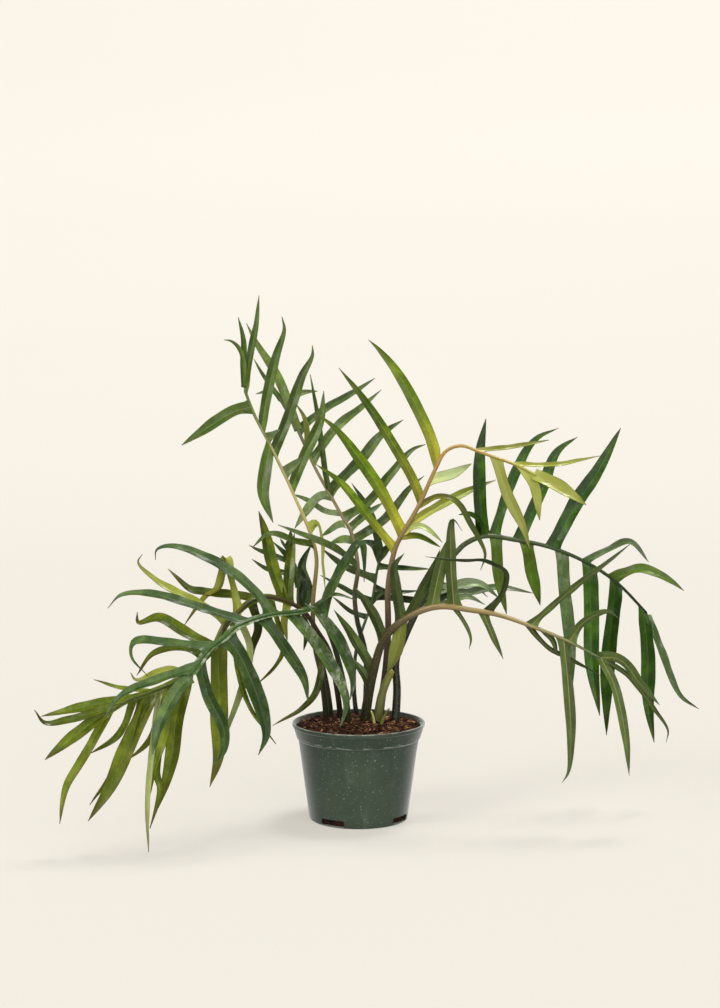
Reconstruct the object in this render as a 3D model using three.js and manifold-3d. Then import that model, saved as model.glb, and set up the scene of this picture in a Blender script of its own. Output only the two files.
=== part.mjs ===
// A potted fern-leaf philodendron: nine deeply cut leaves in a round nursery pot.
// Millimetres, +Z up, the front of the plant faces -Y. The origin is the centre of the pot's underside.

import * as THREE from 'three';
import Module from 'manifold-3d';
import { mergeVertices } from 'three/addons/utils/BufferGeometryUtils.js';

const wasm = await Module();
wasm.setup();

// Pot: outer radii and heights
const POT_HEIGHT = 121.5;
const RIM_RADIUS = 82.5;
const RIM_LIP = 5;
const COLLAR_RADIUS = 77.2;
const COLLAR_FOOT = 102.5;
const BODY_TOP_RADIUS = 75;
const BODY_FOOT_RADIUS = 61.8;
const FOOT_ROUND = 3.2;
const POT_WALL = 1.8;
const POT_FLOOR = 2.4;
const POT_SIDES = 48;

// Drain slots, cut through the corner between the wall and the floor
const SLOT_COUNT = 4;
const SLOT_WIDTH = 33;
const SLOT_HEIGHT = 8.5;
const SLOT_FOOT = 1.4;
const SLOT_DEPTH = 9;
const FIRST_SLOT_ANGLE = -122;

// Soil
const GAP = 0.3;
const SOIL_LEVEL = 116.5;
const SOIL_DOME = 5;
const SOIL_RELIEF = 1.6;
const SOIL_SIDES = 32;
const SOIL_RINGS = 5;
const STEM_DEPTH = 24;

// Leaves
const BLADE_THICKNESS = 0.9;
const TIP_WIDTH = 1.3;
const STALK_SIDES = 6;
const STALK_STEP = 26;
const SMOOTHING = 0.02;

// Half outline of a lobe: place along it and share of its full width, wide again where it meets the rib
const LOBE_OUTLINE = [[0, 1.2], [0.07, 0.92], [0.2, 0.86], [0.45, 1], [0.68, 0.86], [0.86, 0.46], [1, 0]];

const GREEN_DEEP = 0x2f5526;
const GREEN_MID = 0x587f45;
const GREEN_GREY = 0x5f7a5c;
const GREEN_YOUNG = 0x93a840;
const OLIVE = 0x66761f;
const POT_GREEN = 0x4a5c50;
const SOIL_BROWN = 0x4a2c1c;

// One lobe of a leaf: its full width, then points down its middle from the rib to the tip
function lobe(width, ...through) {
  return { width, through };
}

const FRONDS = [
  {
    name: 'frond_upper_left',
    colour: GREEN_MID,
    face: [0.1, -0.9, 0.42],
    radii: [3.8, 1.1],
    stalk: [
      [-41, 28, 122], [-47, 18, 178], [-54, 12, 212], [-57, 6, 265], [-52, 1, 324], [-55, 0, 343],
      [-61, -1, 362], [-81, -2, 408], [-103, -4, 456], [-127, -8, 503], [-140, -12, 538],
    ],
    lobes: [
      lobe(6, [-140, -12, 538], [-141, -14, 569], [-140, -16, 594], [-146, -18, 623]),
      lobe(5, [-140, -12, 538], [-143, -19, 581], [-154, -22, 594], [-163, -24, 596]),
      lobe(7, [-139, -12, 535], [-134, -7, 569], [-125, -1, 615], [-122, 3, 650]),
      lobe(10, [-120, -7, 488], [-114, -5, 519], [-101, 0, 574], [-91, 2, 608], [-94, 3, 624]),
      lobe(11, [-104, -4, 458], [-88, 2, 496], [-70, 10, 550], [-57, 14, 576], [-57, 16, 589]),
      lobe(11, [-83, -2, 413], [-67, 3, 453], [-46, 8, 499], [-43, 12, 533]),
      lobe(12, [-132, -9, 513], [-155, -17, 507], [-187, -29, 487], [-214, -39, 469]),
      lobe(13, [-108, -5, 465], [-114, -12, 441], [-117, -22, 407], [-104, -33, 374]),
      lobe(9, [-114, -6, 476], [-104, -18, 478], [-96, -34, 487]),
      lobe(10, [-92, -3, 431], [-79, -17, 441], [-67, -33, 454]),
      lobe(9, [-62, -1, 364], [-51, -4, 369], [-46, -6, 349], [-45, -8, 319], [-41, -10, 289]),
      lobe(7, [-55, 0, 343], [-78, -22, 350], [-108, -37, 361], [-129, -46, 345]),
    ],
  },
  {
    name: 'frond_upper_back',
    colour: GREEN_GREY,
    face: [-0.1, -0.9, 0.42],
    radii: [4, 1.1],
    stalk: [
      [9, 48, 121], [9, 44, 198], [-2, 38, 244], [-5, 34, 276], [-1, 32, 310], [-10, 60, 354],
      [-18, 74, 366], [-38, 92, 400], [-59, 106, 437], [-86, 114, 495], [-109, 118, 529],
    ],
    lobes: [
      lobe(9, [-77, 111, 477], [-39, 124, 508], [-6, 134, 527], [21, 141, 545]),
      lobe(10, [-60, 106, 440], [-29, 110, 481], [6, 114, 510], [29, 116, 531]),
      lobe(12, [-38, 92, 401], [-20, 94, 419], [6, 97, 445], [29, 100, 473], [57, 102, 493]),
      lobe(10, [-20, 75, 368], [12, 75, 388], [40, 75, 424], [68, 75, 456], [85, 75, 463]),
      lobe(10, [-3, 53, 343], [33, 60, 368], [66, 69, 409], [83, 73, 423]),
      lobe(8, [-5, 53, 343], [-17, 54, 344], [-37, 55, 339]),
      lobe(9, [-11, 63, 357], [8, 82, 371], [31, 103, 386]),
      lobe(8, [-12, 66, 360], [-21, 68, 362], [-47, 76, 346]),
      lobe(6, [-24, 79, 375], [-43, 82, 377], [-62, 85, 389], [-85, 89, 399]),
      lobe(10, [-35, 90, 396], [-52, 83, 394], [-68, 74, 376], [-81, 65, 357]),
      lobe(6, [-37, 91, 398], [-42, 86, 424], [-51, 73, 494], [-61, 61, 552]),
      lobe(10, [-78, 112, 478], [-104, 121, 547], [-131, 128, 589], [-145, 132, 616]),
      lobe(5, [-88, 114, 498], [-102, 126, 520], [-120, 140, 543], [-137, 154, 570]),
      lobe(5, [-101, 117, 518], [-111, 113, 529], [-132, 107, 526]),
      lobe(8, [-96, 116, 510], [-77, 121, 525], [-53, 126, 529]),
      lobe(6, [-65, 108, 450], [-68, 88, 493], [-79, 78, 514]),
      lobe(8, [-1, 33, 311], [-28, -6, 339], [-59, -34, 356], [-98, -38, 372]),
    ],
  },
  {
    name: 'frond_young_centre',
    colour: GREEN_YOUNG,
    face: [-0.2, -0.88, 0.42],
    radii: [5, 1.3],
    stalk: [
      [27, 34, 123], [34, 28, 182], [37, 20, 234], [37, 12, 291], [45, 5, 337], [52, 2, 353], [74, -4, 392],
      [94, -10, 437], [107, -14, 460], [125, -20, 467], [150, -28, 459], [188, -38, 446], [216, -46, 432],
    ],
    lobes: [
      lobe(12, [97, -11, 444], [85, -14, 485], [47, -18, 556], [25, -20, 584], [12, -21, 596]),
      lobe(10, [77, -5, 399], [63, -10, 432], [33, -17, 484], [-1, -25, 534], [-24, -30, 562]),
      lobe(12, [54, 1, 358], [21, -12, 421], [-25, -27, 485], [-49, -33, 506]),
      lobe(9, [44, 5, 337], [10, -3, 381], [-23, -10, 422], [-52, -15, 444]),
      lobe(11, [89, -8, 425], [108, -18, 430], [121, -25, 435], [137, -33, 446]),
      lobe(10, [60, 0, 365], [86, 22, 381], [140, 61, 405], [175, 85, 417]),
      lobe(7, [74, -4, 392], [98, -7, 403], [117, -9, 400], [142, -14, 361], [155, -18, 334], [150, -20, 314]),
      lobe(6, [55, 1, 356], [76, -5, 367], [95, -11, 355], [103, -14, 348]),
      lobe(6, [52, 2, 354], [74, 10, 353], [93, 18, 343], [102, 22, 338]),
      lobe(14, [211, -45, 434], [231, -51, 425], [246, -57, 417], [273, -67, 399]),
      lobe(11, [167, -32, 453], [181, -41, 409], [199, -49, 370], [207, -54, 344]),
      lobe(10, [199, -41, 441], [212, -45, 421], [219, -51, 379]),
      lobe(5, [143, -26, 461], [185, -14, 465], [234, -1, 473]),
      lobe(5, [188, -38, 446], [241, -31, 445], [294, -23, 455]),
    ],
  },
  {
    name: 'frond_right',
    colour: GREEN_DEEP,
    face: [0, -0.8, 0.6],
    radii: [5.2, 1.5],
    stalk: [
      [46, 12, 117], [48, 17, 158], [47, 22, 195], [58, 26, 223], [71, 30, 251], [90, 36, 288],
      [123, 42, 329], [135, 44, 340], [159, 46, 349], [196, 50, 344], [242, 54, 334], [291, 58, 313],
      [327, 60, 289], [358, 62, 258], [368, 63, 247],
    ],
    lobes: [
      lobe(14, [157, 46, 348], [153, 55, 405], [153, 62, 450], [161, 70, 496]),
      lobe(11, [172, 47, 348], [192, 66, 411], [224, 83, 467], [255, 92, 483]),
      lobe(13, [202, 51, 342], [231, 64, 404], [252, 74, 453], [278, 81, 472]),
      lobe(16, [245, 54, 333], [277, 69, 389], [300, 78, 421], [335, 94, 483]),
      lobe(8, [287, 58, 316], [315, 49, 331], [341, 42, 342], [364, 33, 318]),
      lobe(12, [322, 60, 293], [357, 48, 306], [394, 35, 292], [408, 30, 282]),
      lobe(17, [292, 58, 312], [294, 48, 248], [296, 37, 180], [304, 28, 123]),
      lobe(16, [327, 60, 289], [322, 65, 227], [317, 70, 161], [319, 75, 88]),
      lobe(15, [362, 62, 254], [368, 57, 198], [368, 52, 139], [376, 47, 85]),
      lobe(8, [368, 63, 247], [384, 60, 204], [410, 55, 144], [433, 53, 127]),
      lobe(14, [258, 55, 328], [260, 58, 285], [268, 61, 225], [273, 65, 149]),
      lobe(14, [211, 51, 341], [220, 57, 297], [231, 61, 259]),
      lobe(12, [172, 47, 346], [175, 41, 304], [186, 32, 252]),
      lobe(7, [157, 46, 348], [151, 37, 370], [137, 30, 379], [125, 26, 378]),
      lobe(11, [84, 34, 275], [118, 42, 285], [152, 46, 288], [178, 48, 270]),
      lobe(9, [94, 37, 292], [132, 52, 276], [176, 62, 282], [222, 66, 274]),
      lobe(8, [75, 31, 259], [104, 40, 262], [136, 44, 272], [160, 46, 262]),
    ],
  },
  {
    name: 'frond_front_right',
    colour: GREEN_GREY,
    face: [0, -0.85, -0.5],
    radii: [6.4, 1.4],
    stalk: [
      [8, 8, 118], [11, 5, 144], [19, -2, 187], [29, -10, 222], [46, -18, 245], [75, -26, 264],
      [100, -33, 271], [138, -43, 268], [171, -50, 263], [208, -58, 251], [252, -66, 234], [292, -74, 214],
    ],
    lobes: [
      lobe(9, [14, 2, 161], [9, 4, 177], [-9, 6, 201]),
      lobe(12, [19, -2, 184], [-11, 5, 233], [-31, 8, 261]),
      lobe(12, [31, -11, 226], [20, -9, 254], [-4, -5, 290]),
      lobe(11, [53, -20, 251], [45, -25, 303], [44, -26, 320], [56, -28, 336]),
      lobe(11, [62, -22, 256], [78, -31, 291], [94, -39, 325], [99, -42, 342]),
      lobe(13, [89, -30, 269], [96, -38, 304], [107, -50, 355]),
      lobe(12, [117, -38, 270], [112, -47, 330], [114, -55, 379], [125, -58, 366]),
      lobe(7, [157, -47, 266], [175, -54, 292], [177, -59, 316], [152, -66, 330], [118, -73, 332], [80, -82, 338]),
      lobe(8, [207, -58, 251], [252, -70, 293], [293, -80, 327], [325, -88, 355]),
      lobe(9, [254, -66, 234], [272, -75, 259], [299, -83, 272], [310, -86, 265]),
      lobe(12, [290, -74, 215], [314, -79, 213], [339, -88, 184], [360, -96, 161]),
      lobe(6, [287, -73, 217], [324, -69, 193], [360, -65, 148], [376, -62, 123], [374, -61, 108]),
      lobe(10, [292, -74, 214], [308, -75, 182], [322, -78, 122], [327, -80, 71]),
      lobe(11, [247, -65, 235], [254, -69, 174], [257, -72, 114], [254, -74, 74], [246, -75, 61]),
      lobe(6, [203, -57, 252], [229, -50, 224], [263, -44, 205], [296, -37, 186]),
      lobe(6, [223, -61, 245], [235, -57, 233], [242, -53, 213]),
      lobe(7, [152, -46, 266], [161, -48, 242], [176, -52, 209]),
      lobe(4, [117, -37, 269], [131, -39, 249], [137, -40, 232], [135, -41, 219]),
      lobe(15, [53, -20, 251], [50, -18, 227], [43, -16, 202], [35, -14, 184]),
    ],
  },
  {
    name: 'frond_front_left',
    colour: GREEN_DEEP,
    face: [0, -0.75, 0.66],
    radii: [4, 1.5],
    stalk: [
      [-13, -2, 122], [-17, -16, 164], [-25, -32, 205], [-37, -48, 244], [-51, -58, 272], [-71, -66, 270],
      [-103, -92, 270], [-124, -110, 267], [-145, -128, 260], [-158, -140, 249], [-173, -152, 239],
      [-185, -164, 224], [-194, -174, 211],
    ],
    lobes: [
      lobe(11, [-103, -92, 272], [-130, -87, 302], [-176, -81, 334], [-223, -75, 350], [-242, -73, 345],
        [-244, -72, 333]),
      lobe(10, [-134, -118, 266], [-184, -111, 280], [-247, -103, 296], [-282, -99, 294], [-299, -96, 278]),
      lobe(9, [-172, -151, 240], [-218, -145, 244], [-262, -139, 244], [-265, -137, 227], [-247, -133, 202]),
      lobe(10, [-188, -168, 219], [-227, -176, 208], [-272, -185, 190], [-292, -192, 165]),
      lobe(16, [-155, -137, 251], [-139, -140, 229], [-116, -144, 173], [-109, -147, 136], [-117, -149, 112]),
      lobe(12, [-184, -163, 224], [-175, -167, 189], [-156, -171, 148], [-157, -174, 121], [-168, -175, 107]),
      lobe(14, [-194, -174, 210], [-209, -179, 194], [-221, -185, 173], [-231, -192, 149], [-236, -198, 124]),
      lobe(12, [-115, -102, 268], [-94, -105, 241], [-65, -109, 196], [-60, -112, 169]),
      lobe(13, [-82, -75, 270], [-54, -78, 237], [-19, -82, 178], [-15, -84, 158], [-22, -85, 132]),
      lobe(13, [-51, -58, 272], [-21, -64, 227], [-7, -69, 185], [-10, -72, 163]),
      lobe(4, [-54, -59, 272], [-44, -60, 282], [-28, -62, 290], [-4, -65, 284]),
      lobe(14, [-44, -54, 260], [-32, -57, 296], [-14, -60, 329], [2, -62, 350], [7, -66, 305]),
    ],
  },
  {
    name: 'frond_low_left',
    colour: OLIVE,
    face: [0.1, -0.85, 0.5],
    radii: [3.6, 1.4],
    stalk: [
      [-23, 20, 122], [-28, 10, 166], [-36, 0, 209], [-50, -10, 236], [-67, -22, 263], [-84, -36, 276],
      [-112, -56, 286], [-131, -72, 282], [-144, -84, 272], [-158, -98, 258], [-170, -112, 236],
      [-187, -126, 218], [-215, -143, 198], [-243, -156, 188], [-265, -165, 182], [-290, -172, 169],
    ],
    lobes: [
      lobe(13, [-92, -41, 276], [-107, -32, 326], [-115, -26, 363], [-122, -21, 387]),
      lobe(11, [-87, -38, 276], [-85, -28, 307], [-82, -14, 339], [-79, -6, 358]),
      lobe(10, [-144, -84, 272], [-154, -74, 309], [-159, -68, 335], [-169, -59, 297], [-186, -54, 284],
        [-213, -44, 249]),
      lobe(10, [-124, -66, 284], [-143, -61, 288], [-189, -50, 291], [-205, -47, 294], [-232, -38, 318]),
      lobe(8, [-155, -96, 259], [-183, -89, 278], [-243, -75, 309], [-265, -68, 330], [-260, -66, 339]),
      lobe(11, [-173, -115, 233], [-209, -109, 253], [-236, -105, 268], [-262, -101, 262], [-263, -100, 274]),
      lobe(7, [-182, -122, 224], [-205, -119, 234], [-242, -116, 227], [-263, -112, 200]),
      lobe(7, [-205, -137, 205], [-223, -133, 211], [-263, -124, 197], [-269, -122, 205]),
      lobe(4, [-240, -155, 189], [-278, -147, 192], [-310, -140, 200]),
      lobe(10, [-263, -164, 182], [-312, -168, 174], [-367, -172, 163]),
      lobe(8, [-277, -168, 175], [-333, -182, 161], [-361, -189, 159], [-371, -194, 175]),
      lobe(13, [-290, -172, 169], [-316, -176, 150], [-362, -182, 114]),
      lobe(9, [-288, -171, 170], [-316, -176, 119], [-338, -180, 80], [-346, -183, 39]),
      lobe(7, [-259, -163, 184], [-278, -166, 140], [-310, -169, 119]),
      lobe(16, [-239, -154, 190], [-265, -160, 132], [-291, -165, 76], [-315, -168, 38]),
      lobe(8, [-247, -158, 187], [-281, -155, 102], [-315, -154, 54]),
      lobe(7, [-226, -148, 194], [-243, -143, 132], [-271, -140, 104]),
      lobe(15, [-201, -134, 209], [-214, -139, 152], [-219, -143, 109], [-235, -148, 49]),
      lobe(9, [-223, -147, 195], [-226, -157, 140], [-237, -164, 104], [-243, -171, 67]),
      lobe(6, [-232, -151, 192], [-242, -167, 104], [-245, -177, 51], [-243, -185, 6]),
      lobe(8, [-218, -145, 197], [-236, -153, 95], [-232, -155, 73], [-244, -159, 27]),
      lobe(18, [-166, -107, 245], [-166, -110, 217], [-165, -116, 159], [-167, -123, 103], [-176, -127, 69]),
      lobe(7, [-147, -86, 270], [-130, -88, 232], [-134, -90, 200], [-157, -93, 131], [-164, -94, 104]),
      lobe(8, [-128, -70, 283], [-121, -70, 250], [-129, -70, 226], [-131, -70, 195]),
      lobe(5, [-107, -53, 284], [-92, -47, 222], [-99, -46, 203], [-125, -43, 175]),
      lobe(7, [-86, -38, 276], [-91, -38, 253], [-87, -38, 230]),
      lobe(5, [-151, -91, 265], [-144, -95, 203], [-130, -97, 159], [-99, -101, 115]),
      lobe(7, [-50, -10, 236], [-45, -26, 201], [-52, -41, 167], [-68, -52, 149], [-104, -70, 131]),
    ],
  },
  {
    name: 'frond_small_left',
    colour: GREEN_GREY,
    face: [0.2, -0.85, 0.4],
    radii: [3.2, 1],
    stalk: [
      [-35, 42, 120], [-41, 38, 167], [-54, 30, 219], [-67, 22, 248], [-75, 14, 266], [-76, 9, 297],
      [-85, 4, 330], [-97, 2, 351],
    ],
    lobes: [
      lobe(6, [-81, 5, 321], [-126, -1, 338], [-135, -3, 343]),
      lobe(6, [-78, 8, 306], [-114, 4, 313], [-132, 2, 325]),
      lobe(7, [-75, 10, 289], [-83, 4, 321], [-106, -4, 348]),
      lobe(11, [-71, 18, 257], [-64, 21, 281], [-71, 24, 314], [-59, 26, 341]),
      lobe(9, [-74, 13, 270], [-69, 19, 291], [-73, 25, 314]),
      lobe(6, [-68, 21, 251], [-66, 26, 226], [-69, 31, 206]),
      lobe(5, [-90, 3, 339], [-85, 5, 349], [-84, 7, 361]),
    ],
  },
  {
    name: 'frond_small_back',
    colour: GREEN_GREY,
    face: [0, -0.9, 0.42],
    radii: [3.2, 1],
    stalk: [
      [-3, 62, 116], [-6, 70, 148], [-3, 84, 198], [10, 96, 237], [16, 100, 252], [21, 105, 279],
      [25, 108, 303], [29, 110, 316],
    ],
    lobes: [
      lobe(9, [28, 109, 311], [20, 115, 329], [4, 119, 336]),
      lobe(8, [28, 109, 312], [35, 103, 325], [43, 97, 335]),
      lobe(6, [25, 108, 303], [49, 101, 302], [92, 88, 302]),
      lobe(5, [21, 105, 276], [41, 111, 269], [80, 125, 269]),
      lobe(8, [17, 101, 257], [25, 93, 268], [35, 86, 273]),
      lobe(8, [22, 106, 287], [-18, 101, 304], [-48, 96, 328]),
      lobe(6, [17, 101, 259], [-7, 94, 270], [-49, 81, 295]),
      lobe(5, [11, 96, 239], [-9, 92, 246], [-33, 86, 266]),
      lobe(8, [29, 110, 316], [16, 116, 369], [-9, 122, 410]),
      lobe(8, [19, 102, 265], [101, 87, 263], [142, 78, 285], [165, 72, 268]),
    ],
  },
];

// Leafless stubs that stand in the soil: a stout sheath and two young shoots
const STUBS = [
  { name: 'sheath_green', colour: OLIVE, radii: [6, 4.4], stalk: [[24, 4, 122], [30, 2, 158], [42, 0, 188]] },
  { name: 'shoot_pale', colour: GREEN_YOUNG, radii: [2.4, 1.1], stalk: [[20, -9, 118], [18, -10, 130], [15, -11, 139]] },
  { name: 'shoot_green', colour: OLIVE, radii: [2.6, 1.3], stalk: [[28, -8, 118], [34, -10, 134], [39, -11, 141]] },
];

// The same random numbers on every run
function seededRandom(seed) {
  let state = seed;
  return () => {
    state = (state * 1664525 + 1013904223) % 4294967296;
    return state / 4294967296;
  };
}

function curveThrough(points) {
  const knots = points.map((p) => new THREE.Vector3(...p));
  return new THREE.CatmullRomCurve3(knots, false, 'centripetal');
}

function solidFrom(vertices, triangles) {
  const mesh = new wasm.Mesh({
    numProp: 3,
    vertProperties: Float32Array.from(vertices.flatMap((v) => [v.x, v.y, v.z])),
    triVerts: Uint32Array.from(triangles.flat()),
  });
  return new wasm.Manifold(mesh);
}

function solidFromGeometry(geometry) {
  const bare = geometry.clone();
  bare.deleteAttribute('normal');
  bare.deleteAttribute('uv');
  const merged = mergeVertices(bare, 1e-4);
  const mesh = new wasm.Mesh({
    numProp: 3,
    vertProperties: Float32Array.from(merged.attributes.position.array),
    triVerts: Uint32Array.from(merged.index.array),
  });
  return new wasm.Manifold(mesh);
}

function geometryFrom(solid) {
  const { vertProperties, triVerts } = solid.getMesh();
  const geometry = new THREE.BufferGeometry();
  geometry.setAttribute('position', new THREE.BufferAttribute(vertProperties, 3));
  geometry.setIndex(new THREE.BufferAttribute(triVerts, 1));
  geometry.computeVertexNormals();
  return geometry;
}

function namedMesh(name, solid, colour, roughness) {
  const material = new THREE.MeshStandardMaterial({ color: colour, roughness, metalness: 0 });
  const mesh = new THREE.Mesh(geometryFrom(solid), material);
  mesh.name = name;
  return mesh;
}

// Rings of a tube or blade joined by walls, with a flat cap at each end
function skin(rings, strips) {
  const count = rings[0].length;
  const triangles = [];
  for (let i = 0; i + 1 < rings.length; i += 1) {
    for (const [a, b, turned] of strips) {
      const here = [i * count + a, i * count + b];
      const next = [here[0] + count, here[1] + count];
      if (turned) triangles.push([here[1], here[0], next[0]], [next[1], here[1], next[0]]);
      else triangles.push([here[1], here[0], next[1]], [next[1], here[0], next[0]]);
    }
  }
  const last = (rings.length - 1) * count;
  for (let k = 1; k + 1 < count; k += 1) {
    triangles.push([0, k, k + 1]);
    triangles.push([last, last + k + 1, last + k]);
  }
  return solidFrom(rings.flat(), triangles);
}

// Rings across a curve, whose width direction is carried along it without twisting
function framesAlong(curve, places, face) {
  const chord = curve.getPointAt(1).sub(curve.getPointAt(0));
  const side = chord.cross(new THREE.Vector3(...face)).normalize();
  return places.map((u) => {
    const tangent = curve.getTangentAt(u);
    side.addScaledVector(tangent, -side.dot(tangent)).normalize();
    return { at: curve.getPointAt(u), side: side.clone(), up: side.clone().cross(tangent).normalize() };
  });
}

// A stalk and its rib: a round taper from the soil to the last lobe
function stalkSolid(points, radii, extra = 0) {
  const foot = new THREE.Vector3(...points[0]);
  const buried = foot.clone().setZ(SOIL_LEVEL - STEM_DEPTH - extra);
  const curve = curveThrough([buried.toArray(), ...points]);
  const steps = Math.ceil(curve.getLength() / STALK_STEP);
  const places = Array.from({ length: steps + 1 }, (_, i) => i / steps);
  const rings = framesAlong(curve, places, [1, 0.2, 0]).map((frame, i) => {
    const radius = THREE.MathUtils.lerp(radii[0], radii[1], places[i]) + extra;
    return Array.from({ length: STALK_SIDES }, (_, k) => {
      const turn = (2 * Math.PI * k) / STALK_SIDES;
      return frame.at.clone()
        .addScaledVector(frame.side, radius * Math.cos(turn))
        .addScaledVector(frame.up, radius * Math.sin(turn));
    });
  });
  const strips = Array.from({ length: STALK_SIDES }, (_, k) => [k, (k + 1) % STALK_SIDES, false]);
  return skin(rings, strips);
}

function outlineShare(u) {
  const next = LOBE_OUTLINE.findIndex(([place]) => place >= u);
  if (next <= 0) return LOBE_OUTLINE[0][1];
  const [u0, w0] = LOBE_OUTLINE[next - 1];
  const [u1, w1] = LOBE_OUTLINE[next];
  return w0 + ((w1 - w0) * (u - u0)) / (u1 - u0);
}

function nearestOn(curve, point) {
  let best = curve.getPointAt(0);
  for (let u = 0; u <= 1; u += 0.004) {
    const here = curve.getPointAt(u);
    if (here.distanceTo(point) < best.distanceTo(point)) best = here;
  }
  return best;
}

// How far a curve turns in all, in radians
function turning(curve) {
  let sum = 0;
  for (let i = 0; i < 12; i += 1) {
    sum += curve.getTangentAt(i / 12).angleTo(curve.getTangentAt((i + 1) / 12));
  }
  return sum;
}

// One lobe: a thin arched strap, rooted in the rib's middle
function lobeSolid({ width, through }, rib, face) {
  const root = nearestOn(rib, new THREE.Vector3(...through[0]));
  const curve = curveThrough([root.toArray(), ...through.slice(1)]);
  const steps = Math.min(8, Math.round(3.4 + curve.getLength() / 75 + turning(curve) / 0.8));
  const places = Array.from({ length: steps + 1 }, (_, i) => {
    const even = i / steps;
    return even * (1.25 - 0.25 * even);
  });
  const rings = framesAlong(curve, places, face).map((frame, i) => {
    const half = Math.max(TIP_WIDTH, width * outlineShare(places[i])) / 2;
    const corner = (across, lift) => frame.at.clone()
      .addScaledVector(frame.side, across * half)
      .addScaledVector(frame.up, lift * BLADE_THICKNESS / 2);
    return [corner(-1, -1), corner(1, -1), corner(1, 1), corner(-1, 1)];
  });
  const strips = [[0, 1, false], [1, 2, false], [2, 3, true], [3, 0, false]];
  return skin(rings, strips);
}

// Crumbs left where lobes brush each other are dropped
function largestPiece(solid) {
  return solid.decompose().reduce((most, piece) => (piece.volume() > most.volume() ? piece : most));
}

function frond({ name, colour, face, radii, stalk, lobes }) {
  const rib = curveThrough(stalk);
  let solid = stalkSolid(stalk, radii);
  for (const each of lobes) solid = solid.add(lobeSolid(each, rib, face));
  return namedMesh(name, largestPiece(solid.asOriginal().simplify(SMOOTHING)), colour, 0.45);
}

function lathe(profile, sides) {
  const points = profile.map(([r, z]) => new THREE.Vector2(r, z));
  const geometry = new THREE.LatheGeometry(points, sides);
  geometry.rotateX(Math.PI / 2);
  return solidFromGeometry(geometry);
}

// Inner radius of the pot at a height inside it
function innerRadius(z) {
  const along = z < COLLAR_FOOT ? z / COLLAR_FOOT : (z - COLLAR_FOOT) / (POT_HEIGHT - COLLAR_FOOT);
  const [low, high] = z < COLLAR_FOOT ? [BODY_FOOT_RADIUS, BODY_TOP_RADIUS] : [COLLAR_RADIUS, RIM_RADIUS - 1.2];
  return THREE.MathUtils.lerp(low, high, along) - POT_WALL;
}

function slotCutter(index) {
  const box = new THREE.BoxGeometry(SLOT_DEPTH * 2, SLOT_WIDTH, SLOT_HEIGHT);
  box.translate(BODY_FOOT_RADIUS, 0, SLOT_FOOT + SLOT_HEIGHT / 2);
  box.rotateZ(THREE.MathUtils.degToRad(FIRST_SLOT_ANGLE + (360 / SLOT_COUNT) * index));
  return solidFromGeometry(box);
}

function pot() {
  const profile = [
    [0, 0], [BODY_FOOT_RADIUS - FOOT_ROUND, 0], [BODY_FOOT_RADIUS - FOOT_ROUND * 0.25, FOOT_ROUND * 0.3],
    [BODY_FOOT_RADIUS, FOOT_ROUND], [BODY_TOP_RADIUS, COLLAR_FOOT - 1.5], [COLLAR_RADIUS, COLLAR_FOOT + 0.5],
    [RIM_RADIUS - 1.2, POT_HEIGHT - RIM_LIP], [RIM_RADIUS, POT_HEIGHT - RIM_LIP + 1],
    [RIM_RADIUS, POT_HEIGHT - 1], [RIM_RADIUS - 1, POT_HEIGHT], [innerRadius(POT_HEIGHT) + 0.6, POT_HEIGHT],
    [innerRadius(COLLAR_FOOT + 1), COLLAR_FOOT + 1], [innerRadius(COLLAR_FOOT - 1), COLLAR_FOOT - 1],
    [innerRadius(POT_FLOOR), POT_FLOOR], [0, POT_FLOOR],
  ];
  let solid = lathe(profile, POT_SIDES);
  for (let i = 0; i < SLOT_COUNT; i += 1) solid = solid.subtract(slotCutter(i));
  return namedMesh('pot', solid, POT_GREEN, 0.6);
}

// The potting mix: a low dome of bark and coir, uneven on top, with a blind hole for each stem
function soil(stems) {
  const foot = POT_FLOOR + GAP;
  const clear = 3 * GAP;
  const edge = innerRadius(SOIL_LEVEL) - 4 * GAP;
  const profile = [
    [0, foot], [innerRadius(foot) - clear, foot], [innerRadius(COLLAR_FOOT - 2) - clear, COLLAR_FOOT - 2],
    [innerRadius(COLLAR_FOOT + 2) - clear, COLLAR_FOOT + 4],
  ];
  for (let i = 0; i <= SOIL_RINGS; i += 1) {
    const out = 1 - i / SOIL_RINGS;
    profile.push([edge * out, SOIL_LEVEL + SOIL_DOME * (1 - out * out)]);
  }
  const geometry = new THREE.LatheGeometry(profile.map(([r, z]) => new THREE.Vector2(r, z)), SOIL_SIDES);
  geometry.rotateX(Math.PI / 2);
  geometry.deleteAttribute('normal');
  geometry.deleteAttribute('uv');
  const merged = mergeVertices(geometry, 1e-4);
  const random = seededRandom(7);
  const place = merged.attributes.position;
  for (let i = 0; i < place.count; i += 1) {
    const lift = (random() * 2 - 1) * SOIL_RELIEF;
    if (place.getZ(i) >= SOIL_LEVEL - 0.01) place.setZ(i, place.getZ(i) + lift);
  }
  let solid = solidFromGeometry(merged);
  for (const { stalk, radii } of stems) solid = solid.subtract(stalkSolid(stalk, radii, GAP));
  return namedMesh('soil', solid, SOIL_BROWN, 0.95);
}

const group = new THREE.Group();
group.add(pot(), soil([...FRONDS, ...STUBS]));
for (const each of FRONDS) group.add(frond(each));
for (const { name, colour, radii, stalk } of STUBS) {
  group.add(namedMesh(name, stalkSolid(stalk, radii), colour, 0.5));
}

export default group;
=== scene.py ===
"""A potted fern-leaf philodendron: nine deeply cut leaves in a round nursery pot.

Metres, +Z up, the front of the plant faces -Y, and the origin is the centre of the pot's underside.
"""

import bisect
import math
import random

import bmesh
import bpy
from bpy.props import FloatProperty, FloatVectorProperty, IntProperty, PointerProperty
from mathutils import Matrix, Vector, noise


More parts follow.
